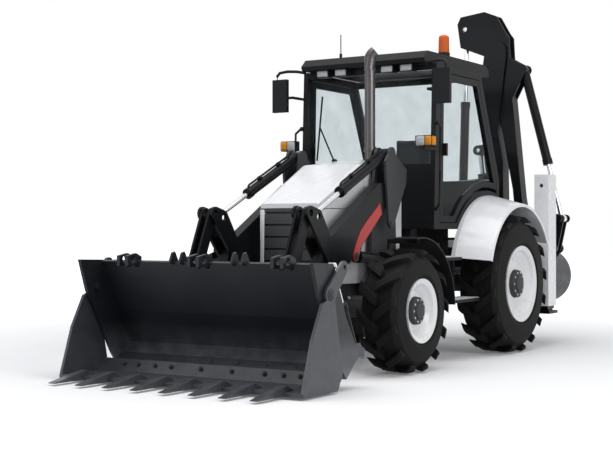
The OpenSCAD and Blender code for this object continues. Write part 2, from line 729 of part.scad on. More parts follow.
module loader_arms() color("#232528") placed() {
    for (s = [0, 1]) mirror([0, s, 0]) {
        difference() {
            side_plate(arm_in_y, arm_out_y) arm_2d();
            side_plate(arm_in_y + bracket_t, arm_out_y - bracket_t) {
                translate(LIFT_EYE) circle(lift_slot_r);
                link_2d(LIFT_EYE, LIFT_EYE + [-330, 260], 75, 45);
            }
        }
        difference() {
            side_plate(arm_in_y, arm_in_y + bracket_t) bracket_2d();
            cross_bar(LIFT_EYE, 30, arm_in_y - lap, arm_out_y + lap);
        }
        side_plate(arm_out_y - bracket_t, arm_out_y) bracket_2d();
        cross_bar(BUCKET, pin_r, arm_in_y - 60, arm_out_y + 60);
        cross_bar(CRANK, pin_r, arm_in_y - crank_t - 2 * gap, arm_out_y + crank_t + 2 * gap);
    }
    cross_bar(arm_tube_p, 60, -arm_in_y - lap, arm_in_y + lap);
}

// Outline of a bell crank plate
module crank_2d() difference() {
    union() {
        link_2d(CRANK, TILT_EYE, 75, 60);
        link_2d(CRANK, LINK_TOP, 75, 60);
        link_2d(TILT_EYE, LINK_TOP, 60, 60);
    }
    translate(CRANK) circle(bore);
    translate(TILT_EYE) circle(30);
    translate(LINK_TOP) circle(30);
}

module bell_cranks() color("#232528") placed() {
    side_plates(arm_in_y - crank_t - gap, arm_in_y - gap) crank_2d();
    side_plates(arm_out_y + gap, arm_out_y + gap + crank_t) crank_2d();
    for (s = [0, 1]) mirror([0, s, 0])
        cross_bar(CRANK + (TILT_EYE - CRANK) * 0.45, 22, arm_in_y - gap - lap, arm_out_y + gap + lap);
}

link_in = 28;
link_t = 22;

module bucket_links() color("#232528") placed() for (s = [0, 1]) mirror([0, s, 0])
    for (y = [arm_y - link_in - link_t, arm_y + link_in]) side_plate(y, y + link_t) difference() {
        link_2d(LINK_LOW, LINK_TOP, 58, 52);
        translate(LINK_LOW) circle(bore);
        translate(LINK_TOP) circle(30);
    }

// Side outline of the bucket's back, as a bent sheet
back_low = [3365, 265];
back_mid = [3561, 567];
back_top = [3756, 993];
floor_rear = [3741, 20];
jaw_split = [3667, 150];

// Point i of a bent sheet's outline, moved t to the left of its path with a mitre at the bend
function mitred(p, i, t) =
    let (n = i == 0 ? left_of(way(p[0], p[1])) : left_of(way(p[i - 1], p[i])),
        m = i == len(p) - 1 ? n : left_of(way(p[i], p[i + 1])))
    p[i] + (n + m) * t / (1 + n * m);

// Sheet of thickness t to the left of a path
module sheet_2d(p, t) polygon(concat(p, [for (i = [len(p) - 1 : -1 : 0]) mitred(p, i, t)]));

back_toe = [3560, 90];

module back_2d() sheet_2d([back_top, back_mid, back_low, back_toe], bucket_t);

module cheek_2d() polygon([[4046, 1000], back_top, back_mid, back_low, back_toe, back_toe + [80, 95],
    CLAM + [115, -22]]);

ear_t = 26;
cheek_out_y = bucket_y - ear_t - gap;

// Ear plate behind the bucket that holds the arm's pin and the link's pin
module bucket_ear_2d() difference() {
    union() {
        translate(BUCKET) circle(nose_r);
        link_2d(BUCKET, LINK_LOW, 60, 65);
        polygon([BUCKET + [10, -nose_r + 2], back_low + [bucket_t / 2, 0],
            back_mid + [bucket_t / 2, 0], back_mid + [122, 233],
            LINK_LOW + [10, 64], LINK_LOW, BUCKET]);
    }
    translate(BUCKET) circle(bore);
}
clam_d = 80;
clam_lug = clam_d / 2 + 2 * gap;
clam_lug_t = 20;
clam_y = cheek_out_y - clam_lug - clam_lug_t - 10;
hook_y = [-0.333, -0.025, 0.3125] * bucket_w;
// Pointed guards on the top edge that keep the load off the links
guard_y = [250, 350];
guard_h = 77;

module loader_bucket() color("#3a3c40") placed() difference() {
    union() {
        side_plate(-cheek_out_y, cheek_out_y) back_2d();
        side_plates(cheek_out_y - bucket_t, cheek_out_y) cheek_2d();
        for (s = [0, 1]) mirror([0, s, 0]) {
            cross_bar(CLAM, pin_r - 5, cheek_out_y - 60, bucket_y - ear_t / 2);
            for (y = [arm_in_y - gap - ear_t, arm_out_y + gap]) side_plate(y, y + ear_t) bucket_ear_2d();
            cross_bar(LINK_LOW, pin_r, arm_in_y - gap - lap, arm_out_y + gap + lap);
            for (y = [clam_y - clam_lug - clam_lug_t, clam_y + clam_lug]) side_plate(y, y + clam_lug_t)
                polygon([CLAM_BASE + [-40, 40], CLAM_BASE + [-30, -45],
                back_low + [10, 5], back_low + [90, 110]]);
            cross_bar(CLAM_BASE, 22, clam_y - clam_lug - lap, clam_y + clam_lug + lap);
        }
        for (y = guard_y) side_plates(y, y + clam_lug_t)
            polygon([back_top + [-50, -90], back_top + [-30, 10],
            back_top + [10, guard_h], back_top + [40, guard_h - 10], back_top + [80, -20],
                back_top + [20, -30]]);
        for (y = hook_y) for (t = [-60, 30]) side_plate(y + t, y + t + 30)
            polygon([back_top + [-20, -70], back_top + [-30, 30], back_top + [40, 60],
            back_top + [150, 40], back_top + [150, -45], back_top + [40, -45]]);
    }
    for (y = hook_y) cross_bar(back_top + [80, 10], fork_r, y - 80, y + 80);
}

module clam_ear_2d() difference() {
    union() {
        link_2d(CLAM, CLAM_EYE, 70, 50);
        polygon([CLAM + [-68, 10], CLAM + [115, -62], [4099, 438], [cutting_x, 50], [cutting_x, 20],
            floor_rear, jaw_split, CLAM + [-60, -60]]);
    }
    translate(CLAM) circle(pin_r - 5 + fit);
    translate(CLAM_EYE) circle(20);
}

module jaw_2d() sheet_2d([jaw_split + [-4, -20], floor_rear, [cutting_x, 20]], bucket_t);

tooth_w = 70;

module tooth_2d() polygon([[cutting_x - 160, 20 + bucket_t - lap],
    [cutting_x - 60, 20 + bucket_t + 45], [cutting_x + 40, 20 + bucket_t + 30],
    [tooth_tip_x, 26], [tooth_tip_x, 20], [cutting_x - 15, 20], [cutting_x - 30, 20 + lap]]);

module bucket_clam() color("#3a3c40") placed() {
    side_plates(bucket_y - ear_t, bucket_y) clam_ear_2d();
    side_plate(-bucket_y + ear_t - lap, bucket_y - ear_t + lap) jaw_2d();
    pitch = bucket_w / (tooth_count + 0.571);
    for (k = [0 : tooth_count - 1]) {
        y = (k - (tooth_count - 1) / 2) * pitch;
        side_plate(y - tooth_w / 2, y + tooth_w / 2) tooth_2d();
    }
}

// Cylinder barrel in the side plane, with an eye at a and its gland at a distance
module side_barrel(a, b, length, d, eye_r, hole, width, y) difference() {
    union() {
        side_rod(a, b, eye_r * 0.7, length, d / 2, y);
        cross_bar(a, eye_r, y - width / 2, y + width / 2);
        side_rod(a, b, length - 50, length + 4, d / 2 + 6, y);
    }
    cross_bar(a, hole, y - width, y + width);
    side_rod(a, b, eye_r + 40, length + 10, d * rod_share / 2 + seat_fit, y);
}

// Cylinder rod with an eye at b
module side_piston(a, b, start, d, eye_r, hole, width, y) difference() {
    union() {
        side_rod(a, b, start, norm(b - a) - eye_r * 0.7, d * rod_share / 2, y);
        cross_bar(b, eye_r, y - width / 2, y + width / 2);
    }
    cross_bar(b, hole, y - width, y + width);
}

lift_barrel_l = 765;
tilt_barrel_l = 900;
clam_barrel_l = 440;

module lift_barrels() color("#232528") placed() for (y = [-arm_y, arm_y])
    side_barrel(LIFT_BASE, LIFT_EYE, lift_barrel_l, lift_d * 0.9, 55, bore, 80, y);
module lift_rods() color("silver") placed() for (y = [-arm_y, arm_y])
    side_piston(LIFT_BASE, LIFT_EYE, 110, lift_d * 0.9, 45, 32, eye_w, y);
module tilt_barrels() color("#232528") placed() for (y = [-arm_y, arm_y])
    side_barrel(TILT_BASE, TILT_EYE, tilt_barrel_l, tilt_d, 50, pin_r - 5 + fit, 80, y);
module tilt_rods() color("silver") placed() for (y = [-arm_y, arm_y])
    side_piston(TILT_BASE, TILT_EYE, 580, tilt_d, 45, 32, 44, y);
module clam_barrels() color("#232528") placed() for (y = [-clam_y, clam_y])
    side_barrel(CLAM_BASE, CLAM_EYE, clam_barrel_l, clam_d, 38, 22 + fit, 60, y);
module clam_rods() color("silver") placed() for (y = [-clam_y, clam_y])
    side_piston(CLAM_BASE, CLAM_EYE, 375, clam_d, 36, 21, 50, y);

// Rear frame, stabilisers and backhoe

post_low_z = 430;
guide_z = [640, 1050];
guide_h = 80;
guide_x = post_x + 80;
leg_fit = 0.3;

module rear_frame() color("white") placed() difference() {
    union() {
        for (s = [0, 1]) mirror([0, s, 0]) {
            translate([post_x, post_in_y, post_low_z]) cube([post_d, post_w, post_top_z - post_low_z]);
            translate([guide_x - lap, rail_y - rail_w, guide_z[0]])
                cube([rail_rear_x - guide_x + lap, rail_w, guide_z[1] + guide_h - guide_z[0]]);
        }
        for (z = guide_z) translate([post_x, -post_in_y - lap, z])
            cube([guide_x - post_x, 2 * (post_in_y + lap), guide_h]);
    }
    for (s = [0, 1]) mirror([0, s, 0]) {
        translate([post_x + post_wall, post_in_y + post_wall, post_low_z - lap])
            cube([post_d - 2 * post_wall, post_w - 2 * post_wall,
                post_top_z - post_wall - post_low_z + lap]);
        translate([post_x + post_d / 2, post_in_y + post_w / 2, post_top_z - 120]) rotate([0, 90, 0])
            cylinder(r = lock_r, h = post_d);
    }
}

module leg_solid() {
    in = post_wall + leg_fit;
    translate([post_x + in, post_in_y + in, 400]) cube([post_d - 2 * in, post_w - 2 * in, 1250]);
    translate([post_x + 4, post_in_y - 40, 350]) cube([post_d + 20, post_w + 60, 30]);
    translate([post_x + 50, post_in_y + 20, 379]) cube([post_d - 100, post_w - 40, 22]);
}

module leg_left() color("#2a2c2f") placed() leg_solid();
module leg_right() color("#2a2c2f") placed() mirror([0, 1, 0]) leg_solid();

carriage_w = 460;
carriage_t = 34;
carriage_x = post_x - gap;
hook_t = 28;
lug_top_z = 1080;
lug_low_z = 690;
swing_lug_t = 60;
swing_lug_r = 90;

module carriage() color("#232528") placed() difference() {
    union() {
        translate([carriage_x - carriage_t, -carriage_w / 2, guide_z[0] - hook_t])
            cube([carriage_t, carriage_w, guide_z[1] + guide_h - guide_z[0] + 2 * hook_t]);
        for (z = [guide_z[0] - leg_fit - hook_t, guide_z[1] + guide_h + leg_fit])
            translate([carriage_x - lap, -carriage_w / 2, z]) cube([gap + 70, carriage_w, hook_t]);
        for (z = [lug_low_z - swing_lug_t, lug_top_z]) {
            translate([-hoe_x, 0, z]) cylinder(r = swing_lug_r, h = swing_lug_t);
            translate([-hoe_x, -swing_lug_r, z])
                cube([hoe_x + carriage_x - carriage_t + lap, 2 * swing_lug_r, swing_lug_t]);
        }
    }
    translate([-hoe_x, 0, lug_low_z - 200]) cylinder(r = swing_r + fit, h = 900);
}

king_gap = 8;
cheek_t = 24;
king_cheek = boom_w / 2 + gap;

module king_cheek_2d() {
    translate(FOOT) circle(95);
    polygon([[-40, lug_low_z + king_gap], FOOT + [0, -95], FOOT + [95, 0], BOOM_BASE + [50, 0],
        BOOM_BASE + [-50, 0],
        [115, lug_top_z - king_gap], [-40, lug_top_z - king_gap]]);
    translate(BOOM_BASE) circle(50);
}

module kingpost() color("#232528") placed() {
    translate([-hoe_x, 0, lug_low_z + king_gap]) cylinder(r = 80, h = lug_top_z - lug_low_z - 2 * king_gap);
    translate([-hoe_x, 0, lug_low_z - swing_lug_t])
        cylinder(r = swing_r, h = lug_top_z - lug_low_z + 2 * swing_lug_t);
    for (x = [-king_cheek - cheek_t, king_cheek]) hoe_plate(x, x + cheek_t) king_cheek_2d();
    hoe_plate(-king_cheek - lap, king_cheek + lap) translate([-40, lug_low_z + king_gap])
        square([80, lug_top_z - lug_low_z - 2 * king_gap]);
    hoe_bar(FOOT, pin_r, -king_cheek - lap, king_cheek + lap);
    hoe_bar(BOOM_BASE, pin_r - 5, -king_cheek - lap, king_cheek + lap);
}

fork_in = dipper_w / 2 + gap;
fork_t = 24;
ram_lug = boom_ram_d / 2 + gap;
eye_slot_r = 250;
rod_relief_p = [150, 1890];
rod_relief_r = 85;

module boom() color("#1f2124") placed() difference() {
    union() {
        hoe_plate(-boom_w / 2, boom_w / 2) {
            translate(FOOT) circle(76);
            polygon([FOOT + [-60, -40], FOOT + [78, -20], [430, 1100], [415, 2000], [327, 2500],
                [300, 2560], [190, 2560],
                [172, 2150], [255, 1500], [300, 1100]]);
        }
        for (x = [-fork_in - fork_t, fork_in]) hoe_plate(x, x + fork_t) {
            polygon([[180, 2300], [350, 2300], [ELBOW[0] + 130, ELBOW[1] - 60],
                [ELBOW[0] + 120, ELBOW[1] + 60], ELBOW + [0, 130],
                ELBOW + [-120, 60], [150, 2900]]);
            translate(ELBOW) circle(130);
        }
        for (x = [-ram_lug - fork_t, ram_lug]) hoe_plate(x, x + fork_t) {
            link_2d(DIPPER_BASE, [320, 1750], 60, 90);
            link_2d(BOOM_EYE, [250, 2150], 55, 70);
        }
        hoe_bar(ELBOW, pin_r, -fork_in - lap, fork_in + lap);
        hoe_bar(DIPPER_BASE, pin_r - 5, -ram_lug - lap, ram_lug + lap);
    }
    hoe_bar(FOOT, bore, -boom_w, boom_w);
    hoe_bar(BOOM_EYE, 28, -boom_w, boom_w);
    hoe_bar(BOOM_EYE + [20, 0], eye_slot_r, -ram_lug, ram_lug);
    hoe_bar(rod_relief_p, rod_relief_r, -ram_lug + lap, ram_lug - lap);
}

// Side plate of the dipper's head, from the elbow up to the ram's eye
module dipper_head_2d() polygon([DIPPER_EYE + [-90, 60], DIPPER_EYE + [-50, 140], ELBOW + [-145, 466],
    ELBOW + [3, 406],
    ELBOW + [112, 216], ELBOW + [156, 156], ELBOW + [170, -104], ELBOW + [-90, -60],
        DIPPER_EYE + [-50, -210]]);

module dipper() color("#1f2124") placed() difference() {
    union() {
        hoe_plate(-dipper_w / 2, dipper_w / 2) {
            translate(ELBOW) circle(120);
            translate(DIP_PIN) circle(75);
            polygon([ELBOW + [-118, 20], ELBOW + [-60, 105], ELBOW + [60, 104], [500, 3146],
                [527, 2705], [639, 1591], DIP_PIN + [74, 10],
                DIP_PIN + [-72, -20], [530, 1700], [345, 2660]]);
        }
        for (x = [-dipper_w / 2, dipper_w / 2 - 20]) hoe_plate(x, x + 20) {
            dipper_head_2d();
            polygon([[480, 3180], HOE_BASE + [-10, 58], HOE_BASE + [58, 0], HOE_BASE + [30, -50],
                [520, 2700], [450, 2800]]);
            translate(HOE_BASE) circle(58);
        }
        hoe_bar(HOE_BASE, pin_r - 8, -dipper_w / 2 + lap, dipper_w / 2 - lap);
        hoe_bar(IDLER, pin_r - 8, -126, 126);
    }
    hoe_bar(ELBOW, bore, -dipper_w, dipper_w);
    hoe_bar(DIP_PIN, bore, -dipper_w, dipper_w);
    hoe_bar(DIPPER_EYE, 30, -dipper_w, dipper_w);
}

ear_in = dipper_w / 2 + gap;
hoe_y = hoe_bucket_w / 2;
hoe_plate_t = 16;
hoe_lip = [790, 470];
hoe_floor_x = 830;

// Side outline of the hoe bucket
module hoe_side_2d() difference() {
    union() {
        translate([800, 740]) circle(300, $fn = 96);
        polygon([[600, 960], [860, 1034], [hoe_floor_x, 460], hoe_lip]);
    }
    polygon([[600, 960], hoe_lip, hoe_lip - [0, 100], [300, 300], [300, 1100]]);
}

module hoe_bucket() color("#3a3c40") placed() {
    for (x = [-hoe_y, hoe_y - hoe_plate_t]) hoe_plate(x, x + hoe_plate_t) hoe_side_2d();
    hoe_plate(-hoe_y + lap, hoe_y - lap) hoe_wrap_2d();
    for (x = [-ear_in - fork_t, ear_in]) hoe_plate(x, x + fork_t) difference() {
        union() {
            link_2d(DIP_PIN, HOE_LUG, 70, 55);
            polygon([DIP_PIN + [-50, -50], [600, 950], [870, 1020], [1000, 945], HOE_LUG + [40, 30],
                DIP_PIN + [40, 40]]);
        }
        translate(HOE_LUG) circle(pin_r - 8 + fit);
    }
    hoe_bar(DIP_PIN, pin_r, -ear_in - lap, ear_in + lap);
    for (k = [0 : hoe_tooth_count - 1])
        hoe_plate(-hoe_y + (k + 0.5) * hoe_bucket_w / hoe_tooth_count - 25,
            -hoe_y + (k + 0.5) * hoe_bucket_w / hoe_tooth_count + 25)
            polygon([hoe_lip + [30, -22], hoe_lip + [24, 10], hoe_lip + [-34, 30], hoe_lip + [-40, 24],
                hoe_lip + [-2, -20]]);
}

// Bent plate of the hoe bucket: top, round back and floor up to the lip
module hoe_wrap_2d() {
    difference() {
        translate([800, 740]) circle(300, $fn = 96);
        translate([800, 740]) circle(300 - hoe_plate_t, $fn = 96);
        polygon([[300, 300], [hoe_floor_x, 300], [hoe_floor_x, 740], [790, 740], [700, 1200], [300, 1200]]);
    }
    polygon([[605, 957], [722, 1024], [734, 1010], [611, 943]]);
    polygon([[hoe_floor_x + 20, 448], hoe_lip + [-6, -14], hoe_lip + [-6, 2], [hoe_floor_x + 20, 457]]);
}

idler_x = ear_in + fork_t + 6;
idler_t = 18;

module hoe_idler() color("#232528") placed() {
    for (x = [-idler_x - idler_t, idler_x]) hoe_plate(x, x + idler_t) difference() {
        link_2d(IDLER, HOE_EYE, 50, 45);
        translate(IDLER) circle(pin_r - 8 + fit);
    }
    hoe_bar(HOE_EYE, pin_r - 8, ram_d / 2 + 32, idler_x + lap);
    mirror_x() hoe_bar(HOE_EYE, pin_r - 8, ram_d / 2 + 32, idler_x + lap);
}

module mirror_x() translate([-hoe_x, 0, 0]) mirror([1, 0, 0]) translate([hoe_x, 0, 0]) children();

push_x = 40;
push_t = 20;

module hoe_link() color("#232528") placed() {
    for (x = [-push_x - push_t, push_x]) hoe_plate(x, x + push_t) link_2d(HOE_LUG, HOE_EYE, 45, 42);
    hoe_bar(HOE_LUG, pin_r - 8, -ear_in - fork_t, ear_in + fork_t);
}

module hoe_cylinder(a, b, length, d, eye_r, hole, width) difference() {
    union() {
        hoe_rod_bar(a, b, eye_r * 0.7, length, d / 2);
        hoe_bar(a, eye_r, -width / 2, width / 2);
        hoe_rod_bar(a, b, length - 60, length + 4, d / 2 + 5);
    }
    hoe_bar(a, hole, -width, width);
    hoe_rod_bar(a, b, eye_r + 40, length + 10, d * rod_share / 2 + seat_fit);
}

module hoe_piston(a, b, start, d, eye_r, hole, width) difference() {
    union() {
        hoe_rod_bar(a, b, start, norm(b - a) - eye_r * 0.7, d * rod_share / 2);
        hoe_bar(b, eye_r, -width / 2, width / 2);
    }
    hoe_bar(b, hole, -width, width);
}

module boom_barrel() color("#232528") placed()
    hoe_cylinder(BOOM_BASE, BOOM_EYE, 860, boom_ram_d, 50, pin_r - 5 + fit, 100);
module boom_rod() color("silver") placed() hoe_piston(BOOM_BASE, BOOM_EYE, 130, boom_ram_d, 42, 28, 100);
module dipper_barrel() color("#232528") placed()
    hoe_cylinder(DIPPER_BASE, DIPPER_EYE, 960, ram_d, 54, pin_r - 5 + fit, 100);
module dipper_rod() color("silver") placed() hoe_piston(DIPPER_BASE, DIPPER_EYE, 825, ram_d, 48, 32, 90);
module hoe_barrel() color("#232528") placed()
    hoe_cylinder(HOE_BASE, HOE_EYE, 1100, ram_d, 48, pin_r - 8 + fit, 90);
module hoe_rod() color("silver") placed() hoe_piston(HOE_BASE, HOE_EYE, 640, ram_d, 44, 30, 60);

frame();
engine();
axles();
hood_cowl();
grille();
cab_frame();
cab_roof();
cab_glass();
seat();
dash();
rear_fenders();
side_steps();
exhaust();
lamps();
mirrors();
rear_frame();
hood();
door_left();
door_right();
door_glass_left();
door_glass_right();
knuckle_left();
knuckle_right();
tyre_fl();
tyre_fr();
tyre_rl();
tyre_rr();
rim_fl();
rim_fr();
rim_rl();
rim_rr();
loader_arms();
bell_cranks();
bucket_links();
loader_bucket();
bucket_clam();
lift_barrels();
lift_rods();
tilt_barrels();
tilt_rods();
clam_barrels();
clam_rods();
carriage();
kingpost();
boom();
dipper();
hoe_bucket();
hoe_idler();
hoe_link();
boom_barrel();
boom_rod();
dipper_barrel();
dipper_rod();
hoe_barrel();
hoe_rod();
leg_left();
leg_right();
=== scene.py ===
# %% [markdown]
# # A backhoe loader in studio light
#
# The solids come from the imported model. This notebook gives every one of them a procedural
# material and adds the small pieces that a solid model leaves out, such as lenses, bolts, a wiper
# and seat pads.

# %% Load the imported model
import math

import bmesh
import bpy
from mathutils import Matrix, Vector


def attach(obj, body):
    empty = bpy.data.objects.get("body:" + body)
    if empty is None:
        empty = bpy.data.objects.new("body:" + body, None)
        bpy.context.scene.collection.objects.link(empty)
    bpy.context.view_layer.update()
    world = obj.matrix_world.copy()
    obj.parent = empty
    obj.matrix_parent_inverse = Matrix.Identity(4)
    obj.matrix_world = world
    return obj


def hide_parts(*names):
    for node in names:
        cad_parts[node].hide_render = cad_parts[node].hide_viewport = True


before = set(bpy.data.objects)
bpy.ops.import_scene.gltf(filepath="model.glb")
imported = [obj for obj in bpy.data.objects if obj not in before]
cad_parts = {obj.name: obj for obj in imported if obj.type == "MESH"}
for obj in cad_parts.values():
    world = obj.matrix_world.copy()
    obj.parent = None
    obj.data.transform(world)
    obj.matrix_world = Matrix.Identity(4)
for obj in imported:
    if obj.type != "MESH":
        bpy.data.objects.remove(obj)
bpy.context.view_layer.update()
REAR_AXLE_X = -1.5375
SIDES = ((1, "left"), (-1, "right"))


def from_axle(x, y, z):
    """A point measured from the rear axle, in the row frame."""
    return Vector((x + REAR_AXLE_X, y, z))


# %% [markdown]
# ## Camera
#
# A camera can be placed by eye or worked out from known sizes. Here the wheelbase, the rims and
# the bucket's width gave its place, direction and focal length, because then a render and the
# photograph can be compared point by point.

# %% Camera
PHOTO_W = 613
FOCAL_PX = 1259.37
SENSOR_MM = 36.0
CAMERA_YAW = 3.706793
CAMERA_PITCH = 0.003272

cam_data = bpy.data.cameras.new("camera")
cam_data.sensor_width = SENSOR_MM
cam_data.lens = FOCAL_PX * SENSOR_MM / PHOTO_W
cam_data.clip_end = 200.0
cam = bpy.data.objects.new("camera", cam_data)
cam.location = from_axle(11.9568, 6.1270, 1.2540)
cam.rotation_euler = (math.pi / 2 + CAMERA_PITCH, 0.0, CAMERA_YAW - math.pi / 2)
bpy.context.scene.collection.objects.link(cam)
bpy.context.scene.camera = cam
bpy.context.scene.view_settings.view_transform = "Standard"
print("lens", round(cam_data.lens, 2), "mm")

# %% [markdown]
# ## Short cuts for node trees
#
# A material is a tree of nodes, and most trees here need the same few: a noise, a colour ramp, a
# range. Each could be wired by hand every time. Small functions keep the trees readable.

# %% Node helpers
def link(tree, a, out, b, into):
    """Join an output of node a to an input of node b."""
    tree.links.new(a.outputs[out], b.inputs[into])


def base_tree(name):
    """A new material with its shader and a node that gives coordinates."""
    m = bpy.data.materials.new(name)
    m.use_nodes = True
    tree = m.node_tree
    shader = tree.nodes["Principled BSDF"]
    coords = tree.nodes.new("ShaderNodeTexCoord")
    return m, tree, shader, coords


def noise(tree, coords, scale, detail=3.0):
    """Noise that is fixed to the object, so that it moves with it."""
    n = tree.nodes.new("ShaderNodeTexNoise")
    n.inputs["Scale"].default_value = scale
    n.inputs["Detail"].default_value = detail
    link(tree, coords, "Object", n, "Vector")
    return n


def ramp(tree, source, out, stops):
    """Colours for a value, from a list of (position, colour)."""
    r = tree.nodes.new("ShaderNodeValToRGB")
    while len(r.color_ramp.elements) < len(stops):
        r.color_ramp.elements.new(0.5)
    for e, (pos, col) in zip(r.color_ramp.elements, stops):
        e.position = pos
        e.color = (*col, 1.0)
    link(tree, source, out, r, "Fac")
    return r


def remap(tree, source, out, lo, hi, to_lo, to_hi):
    """Carry a value from the range lo..hi to the range to_lo..to_hi."""
    n = tree.nodes.new("ShaderNodeMapRange")
    n.inputs["From Min"].default_value = lo
    n.inputs["From Max"].default_value = hi
    n.inputs["To Min"].default_value = to_lo
    n.inputs["To Max"].default_value = to_hi
    link(tree, source, out, n, "Value")
    return n


def tint(col, k):
    """A colour made k times as bright, kept within 1."""
    return tuple(min(1.0, c * k) for c in col)


# %% [markdown]
# ## Opaque finishes
#
# Paint, cast iron and rubber differ in colour, gloss and grain, but vary in the same way. One
# builder makes them all: broad noise varies the colour, finer noise the gloss, a second colour is
# mixed in low down, and the Bevel node rounds the light on hard edges as paint does. On paint and
# tyres that second colour is dust; on the bucket and clam it is a painted sheen. A builder was
# chosen over separate trees so that the finishes stay in tune.

# %% Builder of opaque finishes
ROAD_DUST = (0.30, 0.28, 0.25)
BROAD_SCALE, BLOT_SCALE = 2.2, 9.0
NOISE_LO, NOISE_HI = 0.3, 0.7
GLOSS_BELOW, GLOSS_ABOVE = 0.06, 0.08
COAT_ROUGH = 0.08
RELIEF_DEPTH = 0.002
# A Mix node has one set of sockets for each data type, so its colour sockets go by number.
MIX_FACTOR, MIX_A, MIX_B, MIX_OUT = 0, 6, 7, 2


def finish_of(name, col, rough, metallic=0.0, coat=0.0, vary=0.08, grain=60.0, bump=0.03,
              edge=0.004, gleam=0.5, dust_and_sheen=0.0, dust_and_sheen_top=1.1, dust_and_sheen_col=ROAD_DUST):
    """An opaque finish that varies a little; low down it turns towards a second colour, which is dust on
    paint and tyres and a painted sheen on the bucket and clam.
    """
    m, tree, shader, coords = base_tree(name)
    broad = noise(tree, coords, BROAD_SCALE)
    fine = noise(tree, coords, grain, 5.0)
    stops = [(NOISE_LO, tint(col, 1 - vary)), (NOISE_HI, tint(col, 1 + vary))]
    colour = ramp(tree, broad, "Fac", stops)
    # Below the given height the colour turns towards a second one: real dust on paint and tyres, a painted
    # sheen on the bucket and clam.
    if dust_and_sheen:
        split = tree.nodes.new("ShaderNodeSeparateXYZ")
        link(tree, coords, "Object", split, "Vector")
        low = remap(tree, split, "Z", 0.0, dust_and_sheen_top, dust_and_sheen, 0.0)
        blot = noise(tree, coords, BLOT_SCALE, 6.0)
        amount = tree.nodes.new("ShaderNodeMath")
        amount.operation = "MULTIPLY"
        link(tree, low, "Result", amount, 0)
        link(tree, blot, "Fac", amount, 1)
        mix = tree.nodes.new("ShaderNodeMix")
        mix.data_type = "RGBA"
        mix.inputs[MIX_B].default_value = (*dust_and_sheen_col, 1.0)
        link(tree, amount, 0, mix, MIX_FACTOR)
        link(tree, colour, "Color", mix, MIX_A)
        link(tree, mix, MIX_OUT, shader, "Base Color")
    else:
        link(tree, colour, "Color", shader, "Base Color")
    shiny, dull = max(0.02, rough - GLOSS_BELOW), min(1.0, rough + GLOSS_ABOVE)
    gloss = remap(tree, fine, "Fac", NOISE_LO, NOISE_HI, shiny, dull)
    link(tree, gloss, "Result", shader, "Roughness")
    shader.inputs["Metallic"].default_value = metallic
    shader.inputs["Specular IOR Level"].default_value = gleam
    shader.inputs["Coat Weight"].default_value = coat
    shader.inputs["Coat Roughness"].default_value = COAT_ROUGH
    rounded = tree.nodes.new("ShaderNodeBevel")
    rounded.samples = 4
    rounded.inputs["Radius"].default_value = edge
    relief = tree.nodes.new("ShaderNodeBump")
    relief.inputs["Strength"].default_value = bump
    relief.inputs["Distance"].default_value = RELIEF_DEPTH
    link(tree, fine, "Fac", relief, "Height")
    link(tree, rounded, "Normal", relief, "Normal")
    link(tree, relief, "Normal", shader, "Normal")
    return m


# %% [markdown]
# ## Glass and lenses
#
# Cab panes are thin tinted glass and lamp lenses are moulded plastic. Both could have the real
# index of glass, about 1.5. A lower one keeps the view straight and the reflections weak, so that
# the inside of the cab shows.

# %% Builder of glass
SMEAR_SCALE = 5.0
PANE_IOR = 1.1


def glass_of(name, col, rough=0.02, weight=1.0):
    """Glass or a plastic lens, a little smeared; weight is the share of light let through."""
    m, tree, shader, coords = base_tree(name)
    smear = noise(tree, coords, SMEAR_SCALE)
    stops = [(NOISE_LO, tint(col, 0.94)), (NOISE_HI, tint(col, 1.04))]
    colour = ramp(tree, smear, "Fac", stops)
    link(tree, colour, "Color", shader, "Base Color")
    gloss = remap(tree, smear, "Fac", NOISE_LO, NOISE_HI, rough, rough + 0.03)
    link(tree, gloss, "Result", shader, "Roughness")
    shader.inputs["Transmission Weight"].default_value = weight
    shader.inputs["IOR"].default_value = PANE_IOR
    return m


# %% [markdown]
# ## Paint and plastic
#
# White paint covers the hood, fenders and rims, and black paint or plastic nearly all the rest.
# The bucket is a greyer charcoal with a satin gloss. The loader bucket is a darker copy of it as
# painted shade, the clam a lighter copy as painted sheen, and both turn towards a light steel grey
# low down as a painted sheen on their lower bends. Colours could be picked from the photograph, but
# its light is in them. These are plain colours at which the photograph's tones come out under even
# light, apart from the painted shade and sheen of the bucket and clam.

# %% Paint and plastic
# A light steel grey that the bucket and clam turn towards low down: a painted sheen on their lower bends.
SHEEN_GREY = (0.27, 0.285, 0.31)
WHITE = finish_of("white_paint", (0.72, 0.73, 0.75), 0.26, coat=0.5, vary=0.02, grain=6.0,
                  bump=0.004, dust_and_sheen=0.06)
RIM_WHITE = finish_of("rim_white", (0.72, 0.73, 0.74), 0.3, coat=0.4, vary=0.02, grain=8.0,
                      bump=0.004, dust_and_sheen=0.08)
BLACK = finish_of("black_paint", (0.005, 0.0054, 0.0065), 0.34, coat=0.04, vary=0.25,
                  bump=0.02, gleam=0.12)
CHARCOAL = finish_of("charcoal_paint", (0.014, 0.0155, 0.020), 0.36, vary=0.25, grain=25.0,
                     bump=0.05, gleam=0.3)
# Loader bucket: a darker copy of the charcoal as painted shade inside it, and a painted sheen low down.
BUCKET_SHADE_AND_SHEEN = finish_of("bucket_shade_and_sheen", (0.011, 0.0125, 0.016), 0.36, vary=0.25, grain=25.0,
                  bump=0.05, gleam=0.3, dust_and_sheen=0.9, dust_and_sheen_top=0.46, dust_and_sheen_col=SHEEN_GREY)
